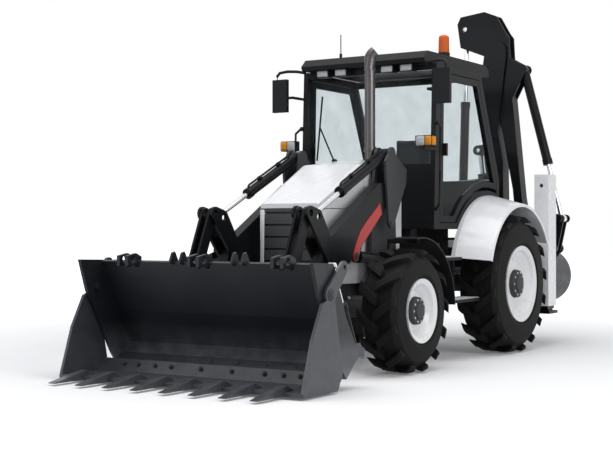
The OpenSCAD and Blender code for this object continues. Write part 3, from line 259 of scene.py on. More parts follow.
# Clam and back edge: a lighter copy of the charcoal as painted sheen, and more painted sheen low down.
CHARCOAL_SHEEN = finish_of("charcoal_sheen", (0.022, 0.024, 0.030), 0.34, vary=0.2, grain=25.0,
                 bump=0.05, gleam=0.5, dust_and_sheen=0.24, dust_and_sheen_top=0.9, dust_and_sheen_col=SHEEN_GREY)
SATIN = finish_of("satin_black", (0.0065, 0.007, 0.008), 0.5, vary=0.2, grain=180.0,
                  bump=0.05, gleam=0.15)
GRILLE = finish_of("grille_grey", (0.040, 0.043, 0.048), 0.45, vary=0.12, grain=140.0,
                   bump=0.05, gleam=0.4)
RED = finish_of("red_paint", (0.47, 0.020, 0.018), 0.32, coat=0.1, vary=0.06, grain=9.0,
                bump=0.004, gleam=0.3)
print(len(bpy.data.materials), "materials with paint and plastic")

# %% [markdown]
# ## Rubber and metal
#
# Rubber is the dullest surface here and a cylinder's chromed rod the brightest. A metal's colour
# is the colour of its reflection, so each metal gets a metallic shader and not just a grey paint.

# %% Rubber and metal
CAST = finish_of("cast_grey", (0.030, 0.031, 0.034), 0.6, vary=0.2, grain=90.0,
                 bump=0.15, gleam=0.35)
TYRE = finish_of("tyre_rubber", (0.0045, 0.0045, 0.005), 0.7, vary=0.25, grain=120.0,
                 bump=0.12, edge=0.006, gleam=0.15, dust_and_sheen=0.012)
CHROME = finish_of("rod_chrome", (0.70, 0.71, 0.73), 0.12, metallic=1.0, vary=0.03, grain=5.0,
                   bump=0.002)
STEEL = finish_of("zinc_bolt", (0.45, 0.45, 0.46), 0.35, metallic=1.0, vary=0.1, grain=200.0)
TREAD = finish_of("step_alloy", (0.52, 0.53, 0.55), 0.4, metallic=0.8, vary=0.08, grain=150.0,
                  bump=0.08)
STACK = finish_of("stack_steel", (0.085, 0.08, 0.083), 0.24, metallic=0.9, vary=0.10, grain=7.0,
                  bump=0.004)
MIRROR = finish_of("mirror_face", (0.75, 0.77, 0.80), 0.03, metallic=1.0, vary=0.02, bump=0.0)
print(len(bpy.data.materials), "materials with rubber and metal")

# %% [markdown]
# ## Lenses and panes
#
# The indicators and the beacon are coloured plastic that lets about a third of the light through,
# so that they keep their colour against a dark housing. The panes let all of it through, and their
# tint darkens the view a little at each face.

# %% Lenses and panes
AMBER = glass_of("amber_lens", (0.95, 0.36, 0.03), 0.12, 0.35)
BEACON = glass_of("beacon_lens", (0.80, 0.17, 0.05), 0.10, 0.35)
CLEAR = glass_of("clear_lens", (0.60, 0.61, 0.63), 0.05, 0.3)
TINTED = glass_of("tinted_glass", (0.775, 0.815, 0.83))
print(len(bpy.data.materials), "materials with glass")

# %% [markdown]
# ## Seat cloth
#
# The seat is covered in a dark woven cloth. An image could show the weave. Two crossed wave
# textures make it here without one, with threads of about 2 mm.

# %% Woven cloth
THREAD_SCALE, THREAD_WOBBLE = 160.0, 1.5
THREAD_DEPTH = 0.001


def cloth_of(name, col):
    """Woven seat cloth: two crossed waves make the threads."""
    m, tree, shader, coords = base_tree(name)
    waves = []
    for axis in ("X", "Y"):
        w = tree.nodes.new("ShaderNodeTexWave")
        w.bands_direction = axis
        w.inputs["Scale"].default_value = THREAD_SCALE
        w.inputs["Distortion"].default_value = THREAD_WOBBLE
        link(tree, coords, "Object", w, "Vector")
        waves.append(w)
    weave = tree.nodes.new("ShaderNodeMath")
    weave.operation = "MAXIMUM"
    link(tree, waves[0], "Fac", weave, 0)
    link(tree, waves[1], "Fac", weave, 1)
    colour = ramp(tree, weave, "Value", [(0.2, tint(col, 0.6)), (0.9, tint(col, 1.25))])
    link(tree, colour, "Color", shader, "Base Color")
    relief = tree.nodes.new("ShaderNodeBump")
    relief.inputs["Strength"].default_value = 0.4
    relief.inputs["Distance"].default_value = THREAD_DEPTH
    link(tree, weave, "Value", relief, "Height")
    link(tree, relief, "Normal", shader, "Normal")
    shader.inputs["Roughness"].default_value = 0.9
    shader.inputs["Sheen Weight"].default_value = 0.3
    return m


CLOTH = cloth_of("seat_cloth", (0.030, 0.031, 0.034))
print("seat cloth has", len(CLOTH.node_tree.nodes), "nodes")

# %% [markdown]
# ## A finish for every solid
#
# Each solid keeps its shape and gets the finish that the real part has, though the loader bucket
# and clam carry painted shade and sheen in theirs. A table from finish to node names is easier to
# read and to check than one assignment for each.

# %% Finishes on the solids
NODE_FINISH = {
    WHITE: "hood hood_cowl rear_fenders rear_frame",
    RIM_WHITE: "rim_fl rim_fr rim_rl rim_rr",
    TYRE: "tyre_fl tyre_fr tyre_rl tyre_rr",
    CHARCOAL: "hoe_bucket",
    # The loader bucket and the clam carry painted shade and sheen in their colours.
    BUCKET_SHADE_AND_SHEEN: "loader_bucket",
    CHARCOAL_SHEEN: "bucket_clam",
    CHROME: "lift_rods tilt_rods clam_rods boom_rod dipper_rod hoe_rod",
    TINTED: "cab_glass door_glass_left door_glass_right",
    GRILLE: "grille",
    CAST: "engine axles frame",
    SATIN: "cab_frame cab_roof door_left door_right dash side_steps mirrors lamps "
           "knuckle_left knuckle_right seat",
    STACK: "exhaust",
}
finish_by_node = {n: m for m, names in NODE_FINISH.items() for n in names.split()}
for node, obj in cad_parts.items():
    obj.data.materials.clear()
    obj.data.materials.append(finish_by_node.get(node, BLACK))
print(len(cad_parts), "solids finished")

# %% [markdown]
# ## Slots
#
# The imported record names a slot for each kind of surface. A small piece gets its material here, but no
# slot.

# %% [markdown]
# ## Floor
#
# The machine stands on a plain white floor that shows a soft shadow. More light would whiten the
# floor and burn out the paint, so the floor glows only for rays that show it: to the camera, in
# gloss and through glass.

# %% Rays that show a surface
def seen_rays(tree):
    """1 for rays that show a surface, directly, in gloss or through glass, and 0 for its light."""
    path = tree.nodes.new("ShaderNodeLightPath")
    total, out = path, "Is Camera Ray"
    for ray in ("Is Glossy Ray", "Is Transmission Ray"):
        more = tree.nodes.new("ShaderNodeMath")
        more.operation = "MAXIMUM"
        link(tree, total, out, more, 0)
        link(tree, path, ray, more, 1)
        total, out = more, "Value"
    return total


# %% Floor
FLOOR_HALF = 60.0
GLOW_FROM, GLOW_TO = 3.0, 11.0
GLOW_NEAR, GLOW_FAR = 0.10, 0.95

floor_mesh = bpy.data.meshes.new("floor")
floor_mesh.from_pydata(
    [(x * FLOOR_HALF, y * FLOOR_HALF, 0) for x, y in ((-1, -1), (1, -1), (1, 1), (-1, 1))],
    [], [(0, 1, 2, 3)])
floor = bpy.data.objects.new("floor", floor_mesh)
bpy.context.scene.collection.objects.link(floor)
floor_mat, ft, fs, floor_coords = base_tree("pale_floor")
fs.inputs["Base Color"].default_value = (0.80, 0.80, 0.81, 1.0)
fs.inputs["Roughness"].default_value = 0.75
fs.inputs["Specular IOR Level"].default_value = 0.1
fs.inputs["Emission Color"].default_value = (1.0, 1.0, 1.0, 1.0)
far = ft.nodes.new("ShaderNodeVectorMath")
far.operation = "LENGTH"
link(ft, floor_coords, "Object", far, 0)
glow = remap(ft, far, "Value", GLOW_FROM, GLOW_TO, GLOW_NEAR, GLOW_FAR)
glow_seen = ft.nodes.new("ShaderNodeMath")
glow_seen.operation = "MULTIPLY"
link(ft, glow, "Result", glow_seen, 0)
link(ft, seen_rays(ft), "Value", glow_seen, 1)
link(ft, glow_seen, "Value", fs, "Emission Strength")
floor_mesh.materials.append(floor_mat)
print("floor", 2 * FLOOR_HALF, "m wide")

# %% [markdown]
# ## Surround
#
# Around the machine there is nothing but white. A white world at full strength would wash out the
# shadows. So the world is white to the eye, in the same way as the floor, and lights the machine
# at a lower, even level.

# %% World
SURROUND_LIGHT = 0.42
world = bpy.data.worlds.new("studio")
bpy.context.scene.world = world
world.use_nodes = True
wt = world.node_tree
surround = wt.nodes["Background"]
surround.inputs["Color"].default_value = (0.86, 0.89, 0.93, 1.0)
surround.inputs["Strength"].default_value = SURROUND_LIGHT
backdrop = wt.nodes.new("ShaderNodeBackground")
backdrop.inputs["Color"].default_value = (1.0, 1.0, 1.0, 1.0)
backdrop.inputs["Strength"].default_value = 1.0
pick = wt.nodes.new("ShaderNodeMixShader")
link(wt, seen_rays(wt), "Value", pick, 0)
link(wt, surround, 0, pick, 1)
link(wt, backdrop, 0, pick, 2)
link(wt, pick, 0, wt.nodes["World Output"], "Surface")
print("surround at", SURROUND_LIGHT)


# %% [markdown]
# ## Lights
#
# Studio light is broad and soft. Point lamps would throw hard shadows, so these are panels. A
# large one overhead models the top faces, one from the left gives the side plates their grey, and
# a weak one fills the right.

# %% Lamps
def soft_light(name, at, aim, size, power, col=(1.0, 1.0, 1.0)):
    """A rectangular lamp at one point that faces another."""
    data = bpy.data.lights.new(name, "AREA")
    data.shape = "RECTANGLE"
    data.size, data.size_y = size
    data.energy = power
    data.color = col
    o = bpy.data.objects.new(name, data)
    o.location = at
    o.rotation_euler = (Vector(aim) - Vector(at)).to_track_quat("-Z", "Y").to_euler()
    bpy.context.scene.collection.objects.link(o)
    print(name, power, "W")


soft_light("overhead", (1.5, 0.5, 8.5), (0.0, 0.0, 0.8), (9.0, 7.0), 560.0)
soft_light("side_left", (3.5, 10.0, 4.5), (0.5, 0.3, 0.9), (6.0, 4.0), 380.0, (1.0, 0.99, 0.97))
soft_light("front_right", (9.0, -4.0, 3.5), (1.0, 0.0, 1.0), (4.0, 4.0), 90.0, (0.95, 0.97, 1.0))

# %% [markdown]
# ## Helpers for small pieces
#
# Small pieces are bars, plates and domes. Blender's primitives are too plain for them, so these
# helpers build each piece with bmesh, round its edges, and hand it to the body that it moves
# with.

# %% Pieces on bodies
BEVEL_FROM = 0.5
SHARP_FROM = 0.6


def settle(name, mesh, body):
    """Make an object of a mesh and hand it to its body."""
    o = bpy.data.objects.new(name, mesh)
    bpy.context.scene.collection.objects.link(o)
    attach(o, body)
    return o


def piece(name, bm, body, material, bevel=0.0, segments=2):
    """Round the edges of a bmesh that are sharper than BEVEL_FROM and make it a piece."""
    mesh = bpy.data.meshes.new(name)
    bmesh.ops.recalc_face_normals(bm, faces=bm.faces)
    if bevel:
        hard = [e for e in bm.edges if e.is_manifold and e.calc_face_angle(0) > BEVEL_FROM]
        bmesh.ops.bevel(bm, geom=hard, offset=bevel, segments=segments, affect="EDGES",
                        profile=0.5, clamp_overlap=True)
    bm.to_mesh(mesh)
    bm.free()
    mesh.shade_smooth()
    mesh.set_sharp_from_angle(angle=SHARP_FROM)
    mesh.materials.append(material)
    print(name, len(mesh.polygons), "faces on", body)
    return settle(name, mesh, body)


# %% Boxes and cones
def add_box(bm, lo, hi):
    """A box between two corners."""
    lo, hi = Vector(lo), Vector(hi)
    m = Matrix.Translation((lo + hi) / 2) @ Matrix.Diagonal((*(hi - lo), 1.0))
    bmesh.ops.create_cube(bm, size=1.0, matrix=m)


def add_tube(bm, a, b, r, r2=None, sides=24):
    """A closed cylinder from a to b, or a cone if its second radius differs."""
    a, b = Vector(a), Vector(b)
    turn = (b - a).to_track_quat("Z", "Y").to_matrix().to_4x4()
    bmesh.ops.create_cone(
        bm, cap_ends=True, segments=sides, radius1=r, radius2=r if r2 is None else r2,
        depth=(b - a).length, matrix=Matrix.Translation((a + b) / 2) @ turn)


# %% Sweeps
def bridge(bm, a, b):
    """Faces between two rings of as many points."""
    n = len(a)
    for k in range(n):
        bm.faces.new((a[k], a[(k + 1) % n], b[(k + 1) % n], b[k]))


def sweep(bm, points, r, sides):
    """Rings of radius r along a polyline, mitred at its bends, with faces between them."""
    pts = [Vector(p) for p in points]
    angles = [2 * math.pi * k / sides for k in range(sides)]
    rings = []
    for i, p in enumerate(pts):
        before = (p - pts[i - 1]).normalized() if i else (pts[1] - p).normalized()
        after = (pts[i + 1] - p).normalized() if i < len(pts) - 1 else before
        q = (before + after).normalized().to_track_quat("Z", "Y")
        rings.append([bm.verts.new(p + q @ Vector((r * math.cos(t), r * math.sin(t), 0)))
                      for t in angles])
    for a, b in zip(rings, rings[1:]):
        bridge(bm, a, b)
    return rings


def add_path(bm, points, r, sides=12):
    """A round bar along a polyline, closed at both ends."""
    rings = sweep(bm, points, r, sides)
    bm.faces.new(rings[0][::-1])
    bm.faces.new(rings[-1])


# %% [markdown]
# ## Heads on points with Geometry Nodes
#
# Nuts, bolts, washers and step studs are one shape set many times. A loop could copy it, but a
# Geometry Nodes tree does so from a list of points, with its sizes as named inputs. The result
# becomes a plain mesh at once, so no modifier is left on the piece.

# %% Tree that sets heads on points
HEAD_INPUTS = {
    "Points": "NodeSocketGeometry", "Sides": "NodeSocketInt", "Radius": "NodeSocketFloat",
    "Height": "NodeSocketFloat", "Turn": "NodeSocketRotation", "Size": "NodeSocketVector",
    "Material": "NodeSocketMaterial",
}


def heads_tree():
    """The node tree, and the identifier of each of its named inputs."""
    g = bpy.data.node_groups.new("heads_on_points", "GeometryNodeTree")
    g.interface.new_socket("Geometry", in_out="OUTPUT", socket_type="NodeSocketGeometry")
    ids = {label: g.interface.new_socket(label, in_out="INPUT", socket_type=kind).identifier
           for label, kind in HEAD_INPUTS.items()}
    n_in, n_out = g.nodes.new("NodeGroupInput"), g.nodes.new("NodeGroupOutput")
    head = g.nodes.new("GeometryNodeMeshCylinder")
    inst = g.nodes.new("GeometryNodeInstanceOnPoints")
    real = g.nodes.new("GeometryNodeRealizeInstances")
    paint = g.nodes.new("GeometryNodeSetMaterial")
    for a, out, b, into in (
            (n_in, "Sides", head, "Vertices"), (n_in, "Radius", head, "Radius"),
            (n_in, "Height", head, "Depth"), (n_in, "Points", inst, "Points"),
            (n_in, "Turn", inst, "Rotation"), (n_in, "Size", inst, "Scale"),
            (head, "Mesh", inst, "Instance"), (inst, "Instances", real, "Geometry"),
            (real, "Geometry", paint, "Geometry"), (n_in, "Material", paint, "Material"),
            (paint, "Geometry", n_out, 0)):
        link(g, a, out, b, into)
    return g, ids


HEADS, HEADS_IN = heads_tree()
print("heads tree has", len(HEADS_IN), "inputs")


# %% Heads as a piece
def heads_at(name, points, axis, radius, height, body, material, sides=6, size=(1.0, 1.0, 1.0)):
    """Set the same small head on every point, with its axis along the given direction."""
    dots = bpy.data.meshes.new(name + "_points")
    dots.from_pydata([tuple(p) for p in points], [], [])
    host = bpy.data.objects.new(name + "_host", dots)
    bpy.context.scene.collection.objects.link(host)
    mod = host.modifiers.new("heads", "NODES")
    mod.node_group = HEADS
    values = {"Sides": sides, "Radius": radius, "Height": height, "Size": size,
              "Turn": Vector(axis).to_track_quat("Z", "Y").to_euler(), "Material": material}
    for label, value in values.items():
        mod[HEADS_IN[label]] = value
    deps = bpy.context.evaluated_depsgraph_get()
    mesh = bpy.data.meshes.new_from_object(host.evaluated_get(deps))
    bpy.data.objects.remove(host)
    print(name, len(points), "heads on", body)
    return settle(name, mesh, body)


# %% [markdown]
# ## Wheel hubs
#
# Each rim is a solid dish. In its middle sits a dark hub drum with a ring of nuts. The drum could
# be turned from a profile, but two short cones show the same steps. The nuts use the tree above.

# %% Hubs and nuts
RIM_DISC_Y = 1.067
NUTS = 10
FRONT_WHEEL = {"x": 2.2, "z": 0.545, "hub": 0.125, "ring": 0.098}
REAR_WHEEL = {"x": 0.0, "z": 0.70, "hub": 0.145, "ring": 0.114}
WHEELS = {"fl": FRONT_WHEEL, "fr": FRONT_WHEEL, "rl": REAR_WHEEL, "rr": REAR_WHEEL}


def beside(wheel, s, d):
    """A point on a wheel's axis on side s, d outside the disc of its rim."""
    return from_axle(wheel["x"], s * (RIM_DISC_Y + d), wheel["z"])


for tag, wheel in WHEELS.items():
    s = 1 if tag[1] == "l" else -1
    hub = wheel["hub"]
    bm = bmesh.new()
    add_tube(bm, beside(wheel, s, -0.02), beside(wheel, s, 0.028), hub, hub * 0.94, 48)
    add_tube(bm, beside(wheel, s, 0.02), beside(wheel, s, 0.048), hub * 0.62, hub * 0.55, 48)
    piece("hub_" + tag, bm, "wheel_" + tag, CAST, bevel=0.004)
    turns = [2 * math.pi * k / NUTS for k in range(NUTS)]
    nuts = [beside(wheel, s, 0.030) + wheel["ring"] * Vector((math.cos(t), 0.0, math.sin(t)))
            for t in turns]
    heads_at("hub_nuts_" + tag, nuts, (0, s, 0), 0.011, 0.012, "wheel_" + tag, STEEL)

# %% [markdown]
# ## Lamps, mirrors and beacon
#
# The lamp housings are solids. Only the bright faces are added: a lens is a grid that bulges
# towards its middle, which takes light better than a flat box, and the beacon is a sleeve under a
# dome.

# %% Lens helper
LENS_STEPS = 8


def add_lens(bm, x, y0, y1, z0, z1, rise):
    """A closed lens on a plane that faces forward: a grid that bulges towards its middle."""
    rows = []
    for i in range(LENS_STEPS + 1):
        u = i / LENS_STEPS
        row = []
        for j in range(LENS_STEPS + 1):
            v = j / LENS_STEPS
            bulge = rise * (1 - (u * 2 - 1) ** 4) * (1 - (v * 2 - 1) ** 4)
            row.append(bm.verts.new(from_axle(x + bulge, y0 + (y1 - y0) * u, z0 + (z1 - z0) * v)))
        rows.append(row)
    for a, b in zip(rows, rows[1:]):
        for j in range(LENS_STEPS):
            bm.faces.new((a[j], b[j], b[j + 1], a[j + 1]))
    rim = [r[0] for r in rows] + rows[-1][1:] + [r[-1] for r in rows[-2::-1]] + rows[0][-2:0:-1]
    bm.faces.new(rim[::-1])


# %% Lenses, bezels, indicators and mirror faces
POD_X, POD_Z = 1.4495, (2.036, 2.124)
WORK_LAMP_X, WORK_LAMP_Z, WORK_LAMP_HALF = 1.2595, (2.772, 2.833), 0.062
WORK_LAMPS_Y = (0.26, 0.47)
BEZEL_GAP, BEZEL_BAR = 0.004, 0.004
BEZEL_X, BEZEL_Z = 1.262, (2.769, 2.836)
INDICATOR_SIDE_Y, MIRROR_Y = 0.842, 0.905
for s, side in SIDES:
    bm = bmesh.new()
    add_lens(bm, POD_X, s * 0.676, s * 0.766, *POD_Z, 0.016)
    for y in WORK_LAMPS_Y:
        add_lens(bm, WORK_LAMP_X, s * (y - WORK_LAMP_HALF), s * (y + WORK_LAMP_HALF),
                 *WORK_LAMP_Z, 0.010)
    piece("lenses_" + side, bm, "chassis", CLEAR)

    bm = bmesh.new()
    for y in WORK_LAMPS_Y:
        half = WORK_LAMP_HALF + BEZEL_GAP
        (y0, y1), (z0, z1) = (s * (y - half), s * (y + half)), BEZEL_Z
        loop = ((y0, z0), (y1, z0), (y1, z1), (y0, z1), (y0, z0))
        add_path(bm, [from_axle(BEZEL_X, *yz) for yz in loop], BEZEL_BAR)
    piece("lamp_bezels_" + side, bm, "chassis", SATIN)

    bm = bmesh.new()
    add_lens(bm, POD_X, s * 0.771, s * 0.838, *POD_Z, 0.014)
    add_box(bm, from_axle(1.376, s * INDICATOR_SIDE_Y - 0.008, 2.04),
            from_axle(1.444, s * INDICATOR_SIDE_Y + 0.008, 2.12))
    piece("indicator_" + side, bm, "chassis", AMBER, bevel=0.002)

    bm = bmesh.new()
    add_box(bm, from_axle(1.331, s * MIRROR_Y - 0.07, 2.45),
            from_axle(1.337, s * MIRROR_Y + 0.07, 2.74))
    piece("mirror_face_" + side, bm, "chassis", MIRROR, bevel=0.002)

# %% Beacon
DOME_RINGS = 6
BEACON_X, BEACON_Y = 0.6, 0.55
BEACON_FOOT, BEACON_TOP = 3.016, 3.166
BEACON_R, BEACON_TOP_R, BEACON_RISE = 0.055, 0.052, 0.030
BEACON_SIDES = 40


def add_dome(bm, at, r, rise, sides):
    """A closed cap of radius r that rises from a level plane at the given point."""
    rows = []
    for k in range(DOME_RINGS):
        a = math.pi / 2 * k / DOME_RINGS
        wide, high = r * math.cos(a), rise * math.sin(a)
        rows.append([bm.verts.new(at + Vector((wide * math.cos(t), wide * math.sin(t), high)))
                     for t in (2 * math.pi * j / sides for j in range(sides))])
    top = bm.verts.new(at + Vector((0, 0, rise)))
    for a, b in zip(rows, rows[1:]):
        bridge(bm, a, b)
    for j in range(sides):
        bm.faces.new((rows[-1][j], rows[-1][(j + 1) % sides], top))
    bm.faces.new(rows[0][::-1])


bm = bmesh.new()
add_tube(bm, from_axle(BEACON_X, BEACON_Y, BEACON_FOOT), from_axle(BEACON_X, BEACON_Y, BEACON_TOP),
         BEACON_R, BEACON_TOP_R, BEACON_SIDES)
add_dome(bm, from_axle(BEACON_X, BEACON_Y, BEACON_TOP - 0.001), BEACON_TOP_R, BEACON_RISE,
         BEACON_SIDES)
piece("beacon_dome", bm, "chassis", BEACON)

# %% [markdown]
# ## Handles and wiper
#
# Grab handles stand beside the doors and one long wiper is parked on the far side of the
# windscreen. Both are bent from bar, so a round section is swept along a few points.

# %% Handles and wiper
HANDLE = ((1.20, 0.775, 1.45), (1.23, 0.812, 1.50), (1.225, 0.815, 1.80), (1.215, 0.815, 2.22),
          (1.182, 0.775, 2.27))
HANDLE_FEET = ((1.195, 0.755, 1.45), (1.178, 0.755, 2.27))
HANDLE_BAR, HANDLE_FOOT_R = 0.012, 0.022
for s, side in SIDES:
    bm = bmesh.new()
    add_path(bm, [from_axle(x, s * y, z) for x, y, z in HANDLE], HANDLE_BAR)
    for x, y, z in HANDLE_FEET:
        add_tube(bm, from_axle(x, s * (y - 0.01), z), from_axle(x, s * (y + 0.022), z),
                 HANDLE_FOOT_R)
    piece("grab_handle_" + side, bm, "chassis", SATIN)

WIPER_ARM = ((1.216, -0.36, 1.932), (1.222, -0.40, 2.02), (1.212, -0.525, 2.27))
WIPER_BLADE = ((1.212, -0.562, 1.94), (1.192, -0.51, 2.585))
bm = bmesh.new()
add_tube(bm, from_axle(1.19, -0.36, 1.93), from_axle(1.226, -0.36, 1.932), 0.022)
add_path(bm, [from_axle(*p) for p in WIPER_ARM], 0.008)
add_path(bm, [from_axle(*p) for p in WIPER_BLADE], 0.009)
piece("front_wiper", bm, "chassis", SATIN)

# %% [markdown]
# ## Seat
#
# The solid seat is a block. A real cushion is foam under cloth, crowned in the middle and drawn in
# at the seams. A bevel would only round its edges. So a remeshed block is inflated by cloth
# pressure for twenty steps, and no point may move further than a cap.

# %% Cushion helper
PAD_VOXEL, PAD_ROUND, PAD_CAP = 0.006, 0.025, 0.016
PAD_PRESSURE, PAD_STEPS, PAD_FILL = 4.0, 20, 0.7


def evaluated_mesh(o):
    """The mesh of an object with its modifiers, as a mesh of its own."""
    deps = bpy.context.evaluated_depsgraph_get()
    return bpy.data.meshes.new_from_object(o.evaluated_get(deps))


def inflate(o):
    """Press an object's mesh outwards as cloth, with each point held within PAD_CAP."""
    cloth = o.modifiers.new("cloth", "CLOTH")
    cloth.settings.use_pressure = True
    cloth.settings.uniform_pressure_force = PAD_PRESSURE
    cloth.settings.effector_weights.gravity = 0.0
    cloth.point_cache.frame_start = 1
    cloth.point_cache.frame_end = PAD_STEPS
    for f in range(1, PAD_STEPS + 1):
        bpy.context.scene.frame_set(f)
    swollen = evaluated_mesh(o)
    o.modifiers.clear()
    for v, w in zip(o.data.vertices, swollen.vertices):
        d = w.co - v.co
        v.co += d * min(1.0, PAD_CAP / d.length) if d.length else d
    bpy.data.meshes.remove(swollen)
    bpy.context.scene.frame_set(1)


def cushion(name, lo, hi, tilt):
    """A padded cushion in a box between two corners, tilted about the Y axis."""
    bm = bmesh.new()
    add_box(bm, lo, hi)
    bmesh.ops.bevel(bm, geom=bm.edges[:], offset=PAD_ROUND, segments=3, affect="EDGES", profile=0.5)
    block = bpy.data.meshes.new(name)
    bm.to_mesh(block)
    bm.free()
    o = bpy.data.objects.new(name, block)
    bpy.context.scene.collection.objects.link(o)
    bpy.context.view_layer.objects.active = o
    o.select_set(True)
    remesh = o.modifiers.new("remesh", "REMESH")
    remesh.mode = "VOXEL"
    remesh.voxel_size = PAD_VOXEL
    pad = evaluated_mesh(o)
    o.modifiers.clear()
    o.data = pad
    inflate(o)
    at = (Vector(lo) + Vector(hi)) / 2
    turn = Matrix.Rotation(tilt, 4, "Y")
    pad.transform(Matrix.Translation(at) @ turn @ Matrix.Translation(-at))
    pad.materials.clear()
    pad.materials.append(CLOTH)
    pad.shade_smooth()
    smooth = o.modifiers.new("subdivide", "SUBSURF")
    smooth.levels = smooth.render_levels = 1
    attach(o, "chassis")
    print(name, len(pad.vertices), "points of cloth")
    return o


# %% Seat cushions and pedestal
BACK_TILT = math.radians(-10)
seat_pad = cushion("seat_cushion", from_axle(0.255, -0.225, 1.575), from_axle(0.725, 0.225, 1.67), 0.0)
back_pad = cushion("seat_back", from_axle(0.16, -0.215, 1.70), from_axle(0.25, 0.215, 2.20), BACK_TILT)
BACK_STEM = ((0.28, 0.0, 1.53), (0.235, 0.0, 1.62), (0.20, 0.0, 1.85))
bm = bmesh.new()
add_box(bm, from_axle(0.33, -0.12, 1.306), from_axle(0.57, 0.12, 1.50))
add_box(bm, from_axle(0.26, -0.21, 1.50), from_axle(0.70, 0.21, 1.575))
add_path(bm, [from_axle(*p) for p in BACK_STEM], 0.028)
pedestal = piece("seat_pedestal", bm, "chassis", SATIN, bevel=0.012)
for o in (pedestal, seat_pad, back_pad):
    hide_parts("seat")

# %% [markdown]
# ## Red trim on the arms
#
# Each loader arm carries a red plate over the lift bracket and a thin red line further down. A
# painted mask would need an image, so they are thin slabs on the arm's outer face.

# %% Slab helper
def add_prism(bm, near, far):
    """A closed prism between two outlines of as many points."""
    near, far = [bm.verts.new(p) for p in near], [bm.verts.new(p) for p in far]
    bm.faces.new(near)
    bm.faces.new(far[::-1])
    for k in range(len(near)):
        j = (k + 1) % len(near)
        bm.faces.new((near[k], far[k], far[j], near[j]))


def add_slab(bm, outline, y0, y1):
    """A flat outline in the side plane, thick from y0 to y1."""
    add_prism(bm, [from_axle(x, y0, z) for x, z in outline], [from_axle(x, y1, z) for x, z in outline])


# %% Red plates and pin caps
RED_PLATE = [
    (1.90, 1.490), (1.962, 1.444), (2.118, 1.340), (2.246, 1.246), (2.335, 1.125), (2.384, 1.028),
    (2.372, 0.985), (2.335, 0.968), (2.295, 0.982), (2.278, 1.03), (2.255, 1.085), (2.133, 1.182),
    (1.95, 1.326), (1.865, 1.393)]
RED_LINE = [(2.541, 0.983), (2.515, 0.967), (2.690, 0.836), (2.722, 0.845)]
LIFT_EYE_X, LIFT_EYE_Z = 2.330, 1.017
ARM_FACE_Y, TRIM_SUNK = 0.5405, 0.001
PLATE_THICK, LINE_THICK, CAP_THICK = 0.003, 0.002, 0.012
for s, side in SIDES:
    face = s * ARM_FACE_Y
    bm = bmesh.new()
    add_slab(bm, RED_PLATE, face - TRIM_SUNK * s, face + PLATE_THICK * s)
    add_slab(bm, RED_LINE, face - TRIM_SUNK * s, face + LINE_THICK * s)
    piece("red_trim_" + side, bm, "loader_arms", RED)
    bm = bmesh.new()
    add_tube(bm, from_axle(LIFT_EYE_X, face, LIFT_EYE_Z),
             from_axle(LIFT_EYE_X, face + CAP_THICK * s, LIFT_EYE_Z), 0.034, sides=32)
    piece("lift_pin_cap_" + side, bm, "loader_arms", CAST, bevel=0.003)

# %% [markdown]
# ## Bolts on the clam
#
# A row of bolts holds the cutting edge to the bend of the clam. Each has a washer under its head.
# Modelled one by one they would be eighteen meshes. Both rows come from the tree of heads instead.

# %% Clam bolts
BEND_X, BEND_Z = 3.7235, 0.1125
BEND_AXIS = Vector((0.869, 0.0, 0.495))
BOLTS_Y = (0.845, 0.69, 0.51, 0.19, -0.12, -0.43, -0.60, -0.78, -0.93)
WASHER_R, WASHER_THICK = 0.019, 0.008
BOLT_R, BOLT_HIGH = 0.014, 0.012
bolt_feet = [from_axle(BEND_X, y, BEND_Z) for y in BOLTS_Y]
heads_at("clam_washers", bolt_feet, BEND_AXIS, WASHER_R, WASHER_THICK, "bucket_clam", CAST, sides=20)
heads_at("clam_bolts", [p + BEND_AXIS * WASHER_THICK for p in bolt_feet], BEND_AXIS, BOLT_R, BOLT_HIGH,
         "bucket_clam", CAST)

# %% [markdown]
# ## Edge of the bucket's back sheet
#
# With the clam open, the back sheet of the bucket works as a blade, so it carries a bolted edge of
# its own along its foot. It lies on the sheet and reaches under the clam's rear plate. A flat bar
# with rounded edges is enough, because its bolts give it scale.

# %% Back edge and its bolts
SHEET_FOOT = Vector((3.58, 0.112))
SHEET_DOWN = Vector((0.744, -0.668))
SHEET_OUT = Vector((0.668, 0.744))
EDGE_UP, EDGE_PAST, EDGE_HALF = 0.095, 0.10, 1.15
EDGE_SUNK, EDGE_THICK = 0.002, 0.016
EDGE_BOLT_UP, EDGE_BOLT_GAP = 0.05, 0.28
section = ((-EDGE_UP, -EDGE_SUNK), (EDGE_PAST, -EDGE_SUNK), (EDGE_PAST, EDGE_THICK), (-EDGE_UP, EDGE_THICK))
bm = bmesh.new()
add_slab(bm, [SHEET_FOOT + SHEET_DOWN * along + SHEET_OUT * out for along, out in section],
         -EDGE_HALF, EDGE_HALF)
# The back edge has the clam's charcoal with its painted sheen.
piece("back_edge", bm, "loader_bucket", CHARCOAL_SHEEN, bevel=0.003)
foot = SHEET_FOOT - SHEET_DOWN * EDGE_BOLT_UP + SHEET_OUT * EDGE_THICK
edge_feet = [from_axle(foot.x, (k + 0.5) * EDGE_BOLT_GAP, foot.y) for k in range(-4, 4)]
heads_at("back_edge_bolts", edge_feet, (SHEET_OUT.x, 0.0, SHEET_OUT.y), 0.014, 0.011, "loader_bucket", CAST)

# %% [markdown]
# ## Pipes on the tilt barrels
#
# A slim steel pipe runs along each tilt barrel, bent in at both ends and held by two clips. It is
# swept along a route that is set out from the barrel's base, along and out from its axis, so it
# can be checked against the barrel.

